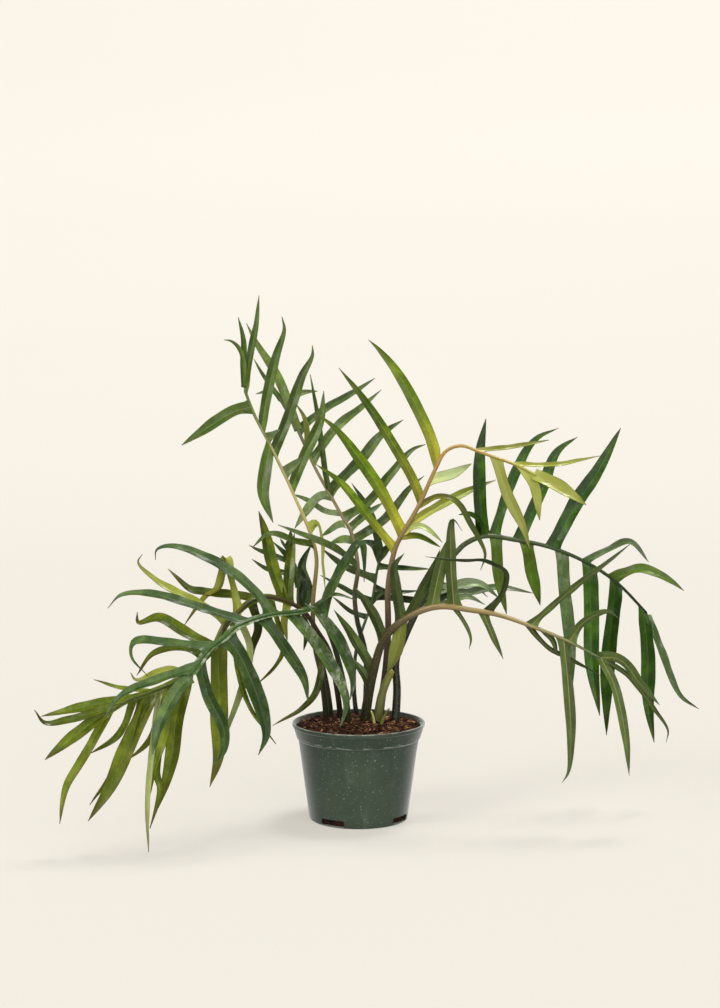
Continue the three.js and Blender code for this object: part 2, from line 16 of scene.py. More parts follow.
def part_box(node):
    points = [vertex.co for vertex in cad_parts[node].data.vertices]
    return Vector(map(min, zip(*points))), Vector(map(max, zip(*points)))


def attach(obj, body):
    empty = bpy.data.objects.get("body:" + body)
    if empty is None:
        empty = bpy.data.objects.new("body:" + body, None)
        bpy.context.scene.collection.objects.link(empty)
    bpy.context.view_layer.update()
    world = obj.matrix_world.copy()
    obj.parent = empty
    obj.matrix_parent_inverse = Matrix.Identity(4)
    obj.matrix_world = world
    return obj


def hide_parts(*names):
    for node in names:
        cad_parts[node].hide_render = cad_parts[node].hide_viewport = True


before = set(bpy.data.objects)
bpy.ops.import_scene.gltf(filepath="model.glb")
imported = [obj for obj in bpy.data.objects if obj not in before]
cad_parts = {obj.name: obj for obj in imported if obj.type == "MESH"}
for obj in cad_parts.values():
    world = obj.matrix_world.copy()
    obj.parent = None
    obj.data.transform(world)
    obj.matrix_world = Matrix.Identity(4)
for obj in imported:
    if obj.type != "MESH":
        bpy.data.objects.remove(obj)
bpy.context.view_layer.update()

bl_info = {
    "name": "Potted fern-leaf philodendron",
    "version": (1, 0, 0),
    "blender": (4, 5, 0),
    "location": "3D View > Sidebar > Philodendron",
    "description": "Models a fern-leaf philodendron in its nursery pot, leaf by leaf",
    "category": "Add Mesh",
}

MM = 0.001
_, POT_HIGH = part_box("pot")

# Each piece has a random draw of its own, so one can change without the others
SOIL_SEED = 7
FIRST_LEAF_SEED = 11
FIRST_SHOOT_SEED = 41

# How far a stalk reaches below the level of the mix, and the mix's and pot's faces round the axis
STALK_DEPTH = 24 * MM
SOIL_STEPS = 96
POT_STEPS = 144
STAGE_STEPS = 96

# Where each light comes from and its width in degrees
LIGHTS = {
    "high": ((0.25, 0.25, 1), 16),
    "left": ((-1, -0.7, 0.9), 25),
    "front": ((0.3, -1, 0.5), 70),
}

# Across a lobe, from one edge to the other, with close rows at the midrib and the edges
LOBE_ACROSS = (-1, -0.94, -0.75, -0.48, -0.22, -0.08, 0, 0.08, 0.22, 0.48, 0.75, 0.94, 1)
WING_ACROSS = (-1, -0.85, -0.5, 0, 0.5, 0.85, 1)

# A uv map's unit is 100 mm along a lobe or stalk, in which a lobe has this many side veins
UV_PER_METRE = 10
SIDE_VEINS = 62.0

# Where up a stalk its five colours lie, as shares of its length
STALK_STOPS = (0.06, 0.3, 0.55, 0.78, 1.0)

# Each leaf in millimetres: the way that its upper face looks, the stalk's radius at foot and tip, points
# up the stalk and along the rib, and for each lobe its full width and points from the rib to its tip
UPPER_LEFT = {
    "face": (0.1, -0.9, 0.42),
    "radii": (3.8, 1.1),
    "stalk": [
        (-41, 28, 122), (-47, 18, 178), (-54, 12, 212), (-57, 6, 265), (-52, 1, 324), (-55, 0, 343),
        (-61, -1, 362), (-81, -2, 408), (-103, -4, 456), (-127, -8, 503), (-140, -12, 538),
    ],
    "lobes": [
        (6, (-140, -12, 538), (-141, -14, 569), (-140, -16, 594), (-146, -18, 623)),
        (5, (-140, -12, 538), (-143, -19, 581), (-154, -22, 594), (-163, -24, 596)),
        (7, (-139, -12, 535), (-134, -7, 569), (-125, -1, 615), (-122, 3, 650)),
        (10, (-120, -7, 488), (-114, -5, 519), (-101, 0, 574), (-91, 2, 608), (-94, 3, 624)),
        (11, (-104, -4, 458), (-88, 2, 496), (-70, 10, 550), (-57, 14, 576), (-57, 16, 589)),
        (11, (-83, -2, 413), (-67, 3, 453), (-46, 8, 499), (-43, 12, 533)),
        (12, (-132, -9, 513), (-155, -17, 507), (-187, -29, 487), (-214, -39, 469)),
        (13, (-108, -5, 465), (-114, -12, 441), (-117, -22, 407), (-104, -33, 374)),
        (9, (-114, -6, 476), (-104, -18, 478), (-96, -34, 487)),
        (10, (-92, -3, 431), (-79, -17, 441), (-67, -33, 454)),
        (9, (-62, -1, 364), (-51, -4, 369), (-46, -6, 349), (-45, -8, 319), (-41, -10, 289)),
        (7, (-55, 0, 343), (-78, -22, 350), (-108, -37, 361), (-129, -46, 345)),
    ],
}

UPPER_BACK = {
    "face": (-0.1, -0.9, 0.42),
    "radii": (4, 1.1),
    "stalk": [
        (9, 48, 121), (9, 44, 198), (-2, 38, 244), (-5, 34, 276), (-1, 32, 310), (-10, 60, 354),
        (-18, 74, 366), (-38, 92, 400), (-59, 106, 437), (-86, 114, 495), (-109, 118, 529),
    ],
    "lobes": [
        (9, (-77, 111, 477), (-39, 124, 508), (-6, 134, 527), (21, 141, 545)),
        (10, (-60, 106, 440), (-29, 110, 481), (6, 114, 510), (29, 116, 531)),
        (12, (-38, 92, 401), (-20, 94, 419), (6, 97, 445), (29, 100, 473), (57, 102, 493)),
        (10, (-20, 75, 368), (12, 75, 388), (40, 75, 424), (68, 75, 456), (85, 75, 463)),
        (10, (-3, 53, 343), (33, 60, 368), (66, 69, 409), (83, 73, 423)),
        (8, (-5, 53, 343), (-17, 54, 344), (-37, 55, 339)),
        (9, (-11, 63, 357), (8, 82, 371), (31, 103, 386)),
        (8, (-12, 66, 360), (-21, 68, 362), (-47, 76, 346)),
        (6, (-24, 79, 375), (-43, 82, 377), (-62, 85, 389), (-85, 89, 399)),
        (10, (-35, 90, 396), (-52, 83, 394), (-68, 74, 376), (-81, 65, 357)),
        (6, (-37, 91, 398), (-42, 86, 424), (-51, 73, 494), (-61, 61, 552)),
        (10, (-78, 112, 478), (-104, 121, 547), (-131, 128, 589), (-145, 132, 616)),
        (5, (-88, 114, 498), (-102, 126, 520), (-120, 140, 543), (-137, 154, 570)),
        (5, (-101, 117, 518), (-111, 113, 529), (-132, 107, 526)),
        (8, (-96, 116, 510), (-77, 121, 525), (-53, 126, 529)),
        (6, (-65, 108, 450), (-68, 88, 493), (-79, 78, 514)),
        (8, (-1, 33, 311), (-28, -6, 339), (-59, -34, 356), (-98, -38, 372)),
    ],
}

YOUNG_CENTRE = {
    "face": (-0.2, -0.88, 0.42),
    "radii": (5, 1.3),
    "stalk": [
        (27, 34, 123), (34, 28, 182), (37, 20, 234), (37, 12, 291), (45, 5, 337), (52, 2, 353), (74, -4, 392),
        (94, -10, 437), (107, -14, 460), (125, -20, 467), (150, -28, 459), (188, -38, 446), (216, -46, 432),
    ],
    "lobes": [
        (12, (97, -11, 444), (85, -14, 485), (47, -18, 556), (25, -20, 584), (12, -21, 596)),
        (10, (77, -5, 399), (63, -10, 432), (33, -17, 484), (-1, -25, 534), (-24, -30, 562)),
        (12, (54, 1, 358), (21, -12, 421), (-25, -27, 485), (-49, -33, 506)),
        (9, (44, 5, 337), (10, -3, 381), (-23, -10, 422), (-52, -15, 444)),
        (11, (89, -8, 425), (108, -18, 430), (121, -25, 435), (137, -33, 446)),
        (10, (60, 0, 365), (86, 22, 381), (140, 61, 405), (175, 85, 417)),
        (7, (74, -4, 392), (98, -7, 403), (117, -9, 400), (142, -14, 361), (155, -18, 334), (150, -20, 314)),
        (6, (55, 1, 356), (76, -5, 367), (95, -11, 355), (103, -14, 348)),
        (6, (52, 2, 354), (74, 10, 353), (93, 18, 343), (102, 22, 338)),
        (14, (211, -45, 434), (231, -51, 425), (246, -57, 417), (273, -67, 399)),
        (11, (167, -32, 453), (181, -41, 409), (199, -49, 370), (207, -54, 344)),
        (10, (199, -41, 441), (212, -45, 421), (219, -51, 379)),
        (5, (143, -26, 461), (185, -14, 465), (234, -1, 473)),
        (5, (188, -38, 446), (241, -31, 445), (294, -23, 455)),
    ],
}

RIGHT = {
    "face": (0, -0.8, 0.6),
    "radii": (5.2, 1.5),
    "stalk": [
        (46, 12, 117), (48, 17, 158), (47, 22, 195), (58, 26, 223), (71, 30, 251), (90, 36, 288),
        (123, 42, 329), (135, 44, 340), (159, 46, 349), (196, 50, 344), (242, 54, 334), (291, 58, 313),
        (327, 60, 289), (358, 62, 258), (368, 63, 247),
    ],
    "lobes": [
        (14, (157, 46, 348), (153, 55, 405), (153, 62, 450), (161, 70, 496)),
        (11, (172, 47, 348), (192, 66, 411), (224, 83, 467), (255, 92, 483)),
        (13, (202, 51, 342), (231, 64, 404), (252, 74, 453), (278, 81, 472)),
        (16, (245, 54, 333), (277, 69, 389), (300, 78, 421), (335, 94, 483)),
        (8, (287, 58, 316), (315, 49, 331), (341, 42, 342), (364, 33, 318)),
        (12, (322, 60, 293), (357, 48, 306), (394, 35, 292), (408, 30, 282)),
        (17, (292, 58, 312), (294, 48, 248), (296, 37, 180), (304, 28, 123)),
        (16, (327, 60, 289), (322, 65, 227), (317, 70, 161), (319, 75, 88)),
        (15, (362, 62, 254), (368, 57, 198), (368, 52, 139), (376, 47, 85)),
        (8, (368, 63, 247), (384, 60, 204), (410, 55, 144), (433, 53, 127)),
        (14, (258, 55, 328), (260, 58, 285), (268, 61, 225), (273, 65, 149)),
        (14, (211, 51, 341), (220, 57, 297), (231, 61, 259)),
        (12, (172, 47, 346), (175, 41, 304), (186, 32, 252)),
        (7, (157, 46, 348), (151, 37, 370), (137, 30, 379), (125, 26, 378)),
        (11, (84, 34, 275), (118, 42, 285), (152, 46, 288), (178, 48, 270)),
        (9, (94, 37, 292), (132, 52, 276), (176, 62, 282), (222, 66, 274)),
        (8, (75, 31, 259), (104, 40, 262), (136, 44, 272), (160, 46, 262)),
    ],
}

FRONT_RIGHT = {
    "face": (0, -0.85, -0.5),
    "radii": (6.4, 1.4),
    "stalk": [
        (8, 8, 118), (11, 5, 144), (19, -2, 187), (29, -10, 222), (46, -18, 245), (75, -26, 264),
        (100, -33, 271), (138, -43, 268), (171, -50, 263), (208, -58, 251), (252, -66, 234), (292, -74, 214),
    ],
    "lobes": [
        (9, (14, 2, 161), (9, 4, 177), (-9, 6, 201)),
        (12, (19, -2, 184), (-11, 5, 233), (-31, 8, 261)),
        (12, (31, -11, 226), (20, -9, 254), (-4, -5, 290)),
        (11, (53, -20, 251), (45, -25, 303), (44, -26, 320), (56, -28, 336)),
        (11, (62, -22, 256), (78, -31, 291), (94, -39, 325), (99, -42, 342)),
        (13, (89, -30, 269), (96, -38, 304), (107, -50, 355)),
        (12, (117, -38, 270), (112, -47, 330), (114, -55, 379), (125, -58, 366)),
        (7, (157, -47, 266), (175, -54, 292), (177, -59, 316), (152, -66, 330), (118, -73, 332),
         (80, -82, 338)),
        (8, (207, -58, 251), (252, -70, 293), (293, -80, 327), (325, -88, 355)),
        (9, (254, -66, 234), (272, -75, 259), (299, -83, 272), (310, -86, 265)),
        (12, (290, -74, 215), (314, -79, 213), (339, -88, 184), (360, -96, 161)),
        (6, (287, -73, 217), (324, -69, 193), (360, -65, 148), (376, -62, 123), (374, -61, 108)),
        (10, (292, -74, 214), (308, -75, 182), (322, -78, 122), (327, -80, 71)),
        (11, (247, -65, 235), (254, -69, 174), (257, -72, 114), (254, -74, 74), (246, -75, 61)),
        (6, (203, -57, 252), (229, -50, 224), (263, -44, 205), (296, -37, 186)),
        (6, (223, -61, 245), (235, -57, 233), (242, -53, 213)),
        (7, (152, -46, 266), (161, -48, 242), (176, -52, 209)),
        (4, (117, -37, 269), (131, -39, 249), (137, -40, 232), (135, -41, 219)),
        (15, (53, -20, 251), (50, -18, 227), (43, -16, 202), (35, -14, 184)),
    ],
}

FRONT_LEFT = {
    "face": (0, -0.75, 0.66),
    "radii": (4, 1.5),
    "stalk": [
        (-13, -2, 122), (-17, -16, 164), (-25, -32, 205), (-37, -48, 244), (-51, -58, 272), (-71, -66, 270),
        (-103, -92, 270), (-124, -110, 267), (-145, -128, 260), (-158, -140, 249), (-173, -152, 239),
        (-185, -164, 224), (-194, -174, 211),
    ],
    "lobes": [
        (11, (-103, -92, 272), (-130, -87, 302), (-176, -81, 334), (-223, -75, 350), (-242, -73, 345),
          (-244, -72, 333)),
        (10, (-134, -118, 266), (-184, -111, 280), (-247, -103, 296), (-282, -99, 294), (-299, -96, 278)),
        (9, (-172, -151, 240), (-218, -145, 244), (-262, -139, 244), (-265, -137, 227), (-247, -133, 202)),
        (10, (-188, -168, 219), (-227, -176, 208), (-272, -185, 190), (-292, -192, 165)),
        (16, (-155, -137, 251), (-139, -140, 229), (-116, -144, 173), (-109, -147, 136), (-117, -149, 112)),
        (12, (-184, -163, 224), (-175, -167, 189), (-156, -171, 148), (-157, -174, 121), (-168, -175, 107)),
        (14, (-194, -174, 210), (-209, -179, 194), (-221, -185, 173), (-231, -192, 149), (-236, -198, 124)),
        (12, (-115, -102, 268), (-94, -105, 241), (-65, -109, 196), (-60, -112, 169)),
        (13, (-82, -75, 270), (-54, -78, 237), (-19, -82, 178), (-15, -84, 158), (-22, -85, 132)),
        (13, (-51, -58, 272), (-21, -64, 227), (-7, -69, 185), (-10, -72, 163)),
        (4, (-54, -59, 272), (-44, -60, 282), (-28, -62, 290), (-4, -65, 284)),
        (14, (-44, -54, 260), (-32, -57, 296), (-14, -60, 329), (2, -62, 350), (7, -66, 305)),
    ],
}

LOW_LEFT = {
    "face": (0.1, -0.85, 0.5),
    "radii": (3.6, 1.4),
    "stalk": [
        (-23, 20, 122), (-28, 10, 166), (-36, 0, 209), (-50, -10, 236), (-67, -22, 263), (-84, -36, 276),
        (-112, -56, 286), (-131, -72, 282), (-144, -84, 272), (-158, -98, 258), (-170, -112, 236),
        (-187, -126, 218), (-215, -143, 198), (-243, -156, 188), (-265, -165, 182), (-290, -172, 169),
    ],
    "lobes": [
        (13, (-92, -41, 276), (-107, -32, 326), (-115, -26, 363), (-122, -21, 387)),
        (11, (-87, -38, 276), (-85, -28, 307), (-82, -14, 339), (-79, -6, 358)),
        (10, (-144, -84, 272), (-154, -74, 309), (-159, -68, 335), (-169, -59, 297), (-186, -54, 284),
          (-213, -44, 249)),
        (10, (-124, -66, 284), (-143, -61, 288), (-189, -50, 291), (-205, -47, 294), (-232, -38, 318)),
        (8, (-155, -96, 259), (-183, -89, 278), (-243, -75, 309), (-265, -68, 330), (-260, -66, 339)),
        (11, (-173, -115, 233), (-209, -109, 253), (-236, -105, 268), (-262, -101, 262), (-263, -100, 274)),
        (7, (-182, -122, 224), (-205, -119, 234), (-242, -116, 227), (-263, -112, 200)),
        (7, (-205, -137, 205), (-223, -133, 211), (-263, -124, 197), (-269, -122, 205)),
        (4, (-240, -155, 189), (-278, -147, 192), (-310, -140, 200)),
        (10, (-263, -164, 182), (-312, -168, 174), (-367, -172, 163)),
        (8, (-277, -168, 175), (-333, -182, 161), (-361, -189, 159), (-371, -194, 175)),
        (13, (-290, -172, 169), (-316, -176, 150), (-362, -182, 114)),
        (9, (-288, -171, 170), (-316, -176, 119), (-338, -180, 80), (-346, -183, 39)),
        (7, (-259, -163, 184), (-278, -166, 140), (-310, -169, 119)),
        (16, (-239, -154, 190), (-265, -160, 132), (-291, -165, 76), (-315, -168, 38)),
        (8, (-247, -158, 187), (-281, -155, 102), (-315, -154, 54)),
        (7, (-226, -148, 194), (-243, -143, 132), (-271, -140, 104)),
        (15, (-201, -134, 209), (-214, -139, 152), (-219, -143, 109), (-235, -148, 49)),
        (9, (-223, -147, 195), (-226, -157, 140), (-237, -164, 104), (-243, -171, 67)),
        (6, (-232, -151, 192), (-242, -167, 104), (-245, -177, 51), (-243, -185, 6)),
        (8, (-218, -145, 197), (-236, -153, 95), (-232, -155, 73), (-244, -159, 27)),
        (18, (-166, -107, 245), (-166, -110, 217), (-165, -116, 159), (-167, -123, 103), (-176, -127, 69)),
        (7, (-147, -86, 270), (-130, -88, 232), (-134, -90, 200), (-157, -93, 131), (-164, -94, 104)),
        (8, (-128, -70, 283), (-121, -70, 250), (-129, -70, 226), (-131, -70, 195)),
        (5, (-107, -53, 284), (-92, -47, 222), (-99, -46, 203), (-125, -43, 175)),
        (7, (-86, -38, 276), (-91, -38, 253), (-87, -38, 230)),
        (5, (-151, -91, 265), (-144, -95, 203), (-130, -97, 159), (-99, -101, 115)),
        (7, (-50, -10, 236), (-45, -26, 201), (-52, -41, 167), (-68, -52, 149), (-104, -70, 131)),
    ],
}

SMALL_LEFT = {
    "face": (0.2, -0.85, 0.4),
    "radii": (3.2, 1),
    "stalk": [
        (-35, 42, 120), (-41, 38, 167), (-54, 30, 219), (-67, 22, 248), (-75, 14, 266), (-76, 9, 297),
        (-85, 4, 330), (-97, 2, 351),
    ],
    "lobes": [
        (6, (-81, 5, 321), (-126, -1, 338), (-135, -3, 343)),
        (6, (-78, 8, 306), (-114, 4, 313), (-132, 2, 325)),
        (7, (-75, 10, 289), (-83, 4, 321), (-106, -4, 348)),
        (11, (-71, 18, 257), (-64, 21, 281), (-71, 24, 314), (-59, 26, 341)),
        (9, (-74, 13, 270), (-69, 19, 291), (-73, 25, 314)),
        (6, (-68, 21, 251), (-66, 26, 226), (-69, 31, 206)),
        (5, (-90, 3, 339), (-85, 5, 349), (-84, 7, 361)),
    ],
}

SMALL_BACK = {
    "face": (0, -0.9, 0.42),
    "radii": (3.2, 1),
    "stalk": [
        (-3, 62, 116), (-6, 70, 148), (-3, 84, 198), (10, 96, 237), (16, 100, 252), (21, 105, 279),
        (25, 108, 303), (29, 110, 316),
    ],
    "lobes": [
        (9, (28, 109, 311), (20, 115, 329), (4, 119, 336)),
        (8, (28, 109, 312), (35, 103, 325), (43, 97, 335)),
        (6, (25, 108, 303), (49, 101, 302), (92, 88, 302)),
        (5, (21, 105, 276), (41, 111, 269), (80, 125, 269)),
        (8, (17, 101, 257), (25, 93, 268), (35, 86, 273)),
        (8, (22, 106, 287), (-18, 101, 304), (-48, 96, 328)),
        (6, (17, 101, 259), (-7, 94, 270), (-49, 81, 295)),
        (5, (11, 96, 239), (-9, 92, 246), (-33, 86, 266)),
        (8, (29, 110, 316), (16, 116, 369), (-9, 122, 410)),
        (8, (19, 102, 265), (101, 87, 263), (142, 78, 285), (165, 72, 268)),
    ],
}

FRONDS = {
    "upper_left": UPPER_LEFT,
    "upper_back": UPPER_BACK,
    "young_centre": YOUNG_CENTRE,
    "right": RIGHT,
    "front_right": FRONT_RIGHT,
    "front_left": FRONT_LEFT,
    "low_left": LOW_LEFT,
    "small_left": SMALL_LEFT,
    "small_back": SMALL_BACK,
}

# Leafless pieces that stand in the soil, in millimetres
SHOOTS = {
    "sheath_green": {"radii": (6, 4.4), "stalk": [(24, 4, 122), (30, 2, 158), (42, 0, 188)]},
    "shoot_pale": {"radii": (2.4, 1.1), "stalk": [(20, -9, 118), (18, -10, 130), (15, -11, 139)]},
    "shoot_green": {"radii": (2.6, 1.3), "stalk": [(28, -8, 118), (34, -10, 134), (39, -11, 141)]},
}

# How single lobes differ from the rest of their leaf: brightness, yellowing and bleaching, then how
# much of the veins and how many scuffs they show, all from 0 to 1
TINTS = {
    "plain": ((0.5, 0.0, 0.0), (1.0, 0.0)),
    "lime": ((0.64, 0.7, 0.0), (0.6, 0.0)),
    "gold": ((0.54, 0.9, 0.05), (0.5, 0.0)),
    "bright": ((0.64, 0.14, 0.0), (0.7, 0.0)),
    "pale": ((0.62, 0.3, 0.26), (0.7, 0.0)),
    "white": ((0.56, 0.15, 0.6), (0.5, 0.0)),
    "dark": ((0.24, 0.0, 0.0), (0.5, 0.0)),
    # Blackish lobes are made nearly black, with hardly any veins
    "blackish": ((0.08, 0.0, 0.0), (0.1, 0.0)),
    "smooth": ((0.4, 0.0, 0.0), (0.12, 0.0)),
    "scuffed": ((0.5, 0.0, 0.0), (0.6, 1.0)),
    "silver": ((0.58, 0.0, 0.12), (0.6, 0.5)),
    "olive": ((0.5, 0.55, 0.0), (0.5, 0.0)),
    "grey": ((0.52, 0.0, 0.3), (0.5, 0.0)),
}

# Each leaf's finish. Colours are sRGB out of 255: blade, its lighter patches (partly painted sheen), the
# lobes' roots, the edges, the other face and the veins, then five up the stalk from the soil to the rib's
# tip. Midrib is how strongly the middle vein shows and rooted how far the roots' colour reaches. Wing and
# flare are millimetres of blade beside the rib and at a lobe's root, fold is the V of a lobe in degrees, and
# frost the share of silver.
# What a leaf doesn't name is as in the common finish
COMMON_FINISH = {"rooted": 0.4, "wing": 1.6, "flare": 4, "frost": 0.0, "shows": "upper"}
FINISHES = {
    "upper_left": {
        "slot": "leaf_mid_green",
        "blade": (69, 92, 29), "light": (95, 116, 50), "root": (86, 108, 40), "edge": (104, 126, 70),
        "back": (117, 130, 74), "vein": (176, 178, 122),
        "stalk": ((42, 50, 30), (92, 84, 56), (186, 168, 100), (206, 194, 122), (104, 128, 66)),
        "midrib": 0.3, "rooted": 0.5, "fold": 28, "frost": 0.08,
        "tints": {10: "lime", 8: "silver", 9: "silver"},
    },
    "upper_back": {
        "slot": "leaf_grey_green",
        "blade": (72, 96, 36), "light": (122, 140, 74), "root": (78, 98, 42), "edge": (104, 128, 76),
        "back": (117, 132, 81), "vein": (160, 172, 124),
        "stalk": ((32, 40, 26), (62, 68, 46), (132, 116, 80), (150, 138, 98), (84, 108, 64)),
        "midrib": 0.22, "wing": 1.8, "fold": 26, "frost": 0.5,
        "tints": {11: "bright", 15: "lime", 8: "silver", 9: "silver"},
    },
    "young_centre": {
        "slot": "leaf_young",
        "blade": (72, 106, 10), "light": (128, 152, 26), "root": (180, 174, 54), "edge": (110, 110, 40),
        "back": (162, 168, 71), "vein": (196, 184, 112),
        "stalk": ((62, 52, 38), (104, 84, 66), (156, 134, 88), (196, 150, 84), (158, 160, 70)),
        "midrib": 0.4, "rooted": 0.8, "flare": 5, "fold": 26,
        "tints": {
            0: "bright", 4: "white", 5: "olive", 6: "dark", 7: "pale", 9: "gold", 10: "gold", 11: "gold",
            12: "gold", 13: "lime",
        },
    },
    "right": {
        "slot": "leaf_dark_green",
        "blade": (38, 72, 4), "light": (74, 116, 14), "root": (48, 82, 8), "edge": (66, 62, 24),
        "back": (94, 132, 34), "vein": (96, 124, 62),
        "stalk": ((34, 40, 22), (52, 54, 34), (88, 102, 60), (48, 68, 28), (26, 38, 14)),
        "midrib": 0.14, "rooted": 0.5, "wing": 2.2, "flare": 3, "fold": 24, "frost": 0.06,
        "tints": {
            4: "silver", 5: "bright", 9: "silver", 10: "silver", 11: "bright", 12: "bright", 14: "grey",
            15: "grey", 16: "grey",
        },
    },
    "front_right": {
        "slot": "leaf_underside",
        "blade": (67, 94, 39), "light": (91, 106, 54), "root": (82, 98, 45), "edge": (92, 112, 70),
        "back": (76, 92, 44), "vein": (178, 174, 104),
        "stalk": ((40, 46, 28), (82, 74, 46), (156, 134, 88), (162, 142, 94), (98, 114, 68)),
        "midrib": 0.75, "wing": 1.8, "flare": 7, "fold": 12, "shows": "under",
        "tints": {0: "smooth", 1: "smooth", 2: "smooth", 3: "smooth", 4: "smooth", 7: "blackish", 18: "olive"},
    },
    "front_left": {
        "slot": "leaf_blue_green",
        "blade": (46, 72, 24), "light": (96, 118, 54), "root": (56, 80, 32), "edge": (82, 108, 64),
        "back": (119, 134, 55), "vein": (140, 162, 110),
        "stalk": ((38, 46, 26), (60, 66, 36), (60, 84, 38), (66, 92, 44), (62, 90, 42)),
        "midrib": 0.16, "rooted": 0.6, "wing": 5.5, "flare": 10, "fold": 22, "frost": 0.16,
        "tints": {8: "scuffed", 9: "scuffed"},
    },
    "low_left": {
        "slot": "leaf_olive",
        "blade": (70, 90, 8), "light": (120, 134, 24), "root": (94, 106, 14), "edge": (104, 76, 34),
        "back": (162, 164, 59), "vein": (160, 160, 84),
        "stalk": ((34, 32, 22), (74, 58, 42), (80, 72, 38), (76, 88, 32), (108, 118, 48)),
        "midrib": 0.18, "wing": 4, "flare": 6, "fold": 26,
        "tints": {
            0: "smooth", 1: "smooth", 2: "olive", 3: "dark", 4: "olive", 7: "lime", 8: "bright",
            12: "bright", 14: "bright", 16: "olive", 17: "bright", 18: "bright", 19: "pale",
            21: "bright", 22: "pale", 23: "dark", 25: "lime", 27: "dark",
        },
    },
    "small_left": {
        "slot": "leaf_grey_green",
        "blade": (48, 70, 24), "light": (82, 100, 45), "root": (65, 86, 39), "edge": (84, 108, 66),
        "back": (104, 120, 66), "vein": (130, 144, 92),
        "stalk": ((32, 34, 22), (72, 62, 46), (72, 74, 44), (78, 96, 54), (74, 100, 52)),
        "midrib": 0.15, "fold": 16, "frost": 0.25,
        "tints": {4: "blackish"},
    },
    "small_back": {
        "slot": "leaf_grey_green",
        "blade": (50, 72, 27), "light": (95, 112, 60), "root": (60, 82, 37), "edge": (80, 104, 64),
        "back": (99, 116, 64), "vein": (120, 138, 90),
        "stalk": ((22, 28, 18), (40, 50, 30), (66, 84, 48), (72, 94, 54), (72, 96, 54)),
        "midrib": 0.12, "fold": 16, "frost": 0.35,
        "tints": {3: "dark", 9: "blackish"},
    },
}

SHOOT_FINISHES = {
    "sheath_green": {
        "slot": "sheath",
        "stalk": ((54, 58, 30), (92, 94, 50), (116, 120, 68), (124, 126, 70), (140, 138, 52)),
    },
    "shoot_pale": {
        "slot": "shoot",
        "stalk": ((150, 148, 92), (186, 184, 120), (206, 204, 142), (190, 196, 110), (170, 180, 80)),
    },
    "shoot_green": {
        "slot": "sheath",
        "stalk": ((90, 96, 46), (112, 120, 52), (126, 132, 60), (120, 112, 56), (104, 84, 50)),
    },
}


# Settings

def length(name, note, default):
    return FloatProperty(name=name, description=note, default=default, subtype="DISTANCE", unit="LENGTH")


def share(name, note, default):
    return FloatProperty(name=name, description=note, default=default, min=0, max=1, subtype="FACTOR")


def paint(name, note, red, green, blue):
    default = srgb(red, green, blue)[:3]
    return FloatVectorProperty(
        name=name, description=note, default=default, min=0, max=1, subtype="COLOR",
    )


def srgb(red, green, blue):
    """A colour of 0 to 255 as the light that it stands for"""
    channels = [channel / 255 for channel in (red, green, blue)]
    bent = [c / 12.92 if c <= 0.04045 else ((c + 0.055) / 1.055) ** 2.4 for c in channels]
    return (*bent, 1.0)


class PotSettings(bpy.types.PropertyGroup):
    height: length("Height", "From the floor to the top of the rim", POT_HIGH.z)
    rim_radius: length("Rim radius", "Outer radius at the top", POT_HIGH.x)
    collar_radius: length("Collar radius", "Outer radius at the collar's foot", 77.2 * MM)
    body_radius: length("Body radius", "Outer radius just below the collar", 75 * MM)
    foot_radius: length("Foot radius", "Outer radius at the floor", 61.8 * MM)
    collar_foot: length("Collar foot", "Height of the step below the collar", 102.5 * MM)
    lip: length("Lip", "Height of the band round the rim", 5 * MM)
    wall: length("Wall", "Thickness of the plastic", 1.8 * MM)
    floor: length("Floor", "Thickness of the floor", 2.4 * MM)
    slot_width: length("Slot width", "Width of a drain slot", 33 * MM)
    slot_height: length("Slot height", "Height of a drain slot", 8.5 * MM)
    slot_foot: length("Slot foot", "Height of the slots' lower edge", 1.4 * MM)
    slot_count: IntProperty(name="Slots", description="Drain slots round the foot", default=4)
    first_slot: FloatProperty(
        name="First slot", description="Where the first slot is, seen from above",
        default=math.radians(-122), subtype="ANGLE", unit="ROTATION",
    )
    colour: paint("Plastic", "Colour of the plastic", 65, 80, 62)
    # The dust colour also paints the sheen at the pot's sides and the highlight along the rim's top
    dust: paint("Dust", "Colour of the dust and scuffs", 168, 176, 160)
    dustiness: share("Dustiness", "How much dust lies on the pot", 0.5)


class SoilSettings(bpy.types.PropertyGroup):
    level: length("Level", "Height of the mix at the pot's wall", 116.5 * MM)
    dome: length("Dome", "How far the middle stands above the edge", 5 * MM)
    gap: length("Gap", "Clearance to the pot", 0.9 * MM)
    chip_count: IntProperty(name="Chips", description="Flakes of bark on top", default=1100)
    fibre_count: IntProperty(name="Fibres", description="Strands of coir on top", default=260)
    dark: paint("Dark", "The darkest bits", 18, 9, 6)
    mid: paint("Middle", "Most of the mix", 72, 43, 28)
    light: paint("Light", "The palest flakes", 182, 134, 92)


class LeafSettings(bpy.types.PropertyGroup):
    thickness: length("Thickness", "Thickness of a blade", 0.5 * MM)
    breadth: FloatProperty(name="Breadth", description="Makes all lobes wider or slimmer", default=1.17)
    row: length("Row", "Distance between rows of faces along a lobe", 2.4 * MM)
    groove: length("Groove", "Depth of the midrib's groove", 0.35 * MM)
    wave: length("Wave", "Height of the waves along a lobe's edge", 0.7 * MM)
    wave_length: length("Wave length", "Distance from one wave to the next", 34 * MM)
    twist: FloatProperty(
        name="Twist", description="Most that a lobe turns by its tip", default=math.radians(20),
        subtype="ANGLE", unit="ROTATION",
    )
    stalk_sides: IntProperty(name="Stalk sides", description="Faces round a stalk", default=14)
    gloss: share("Gloss", "How shiny the blades are", 0.32)
    glow: share("Glow", "How much light shines through a blade", 0.24)


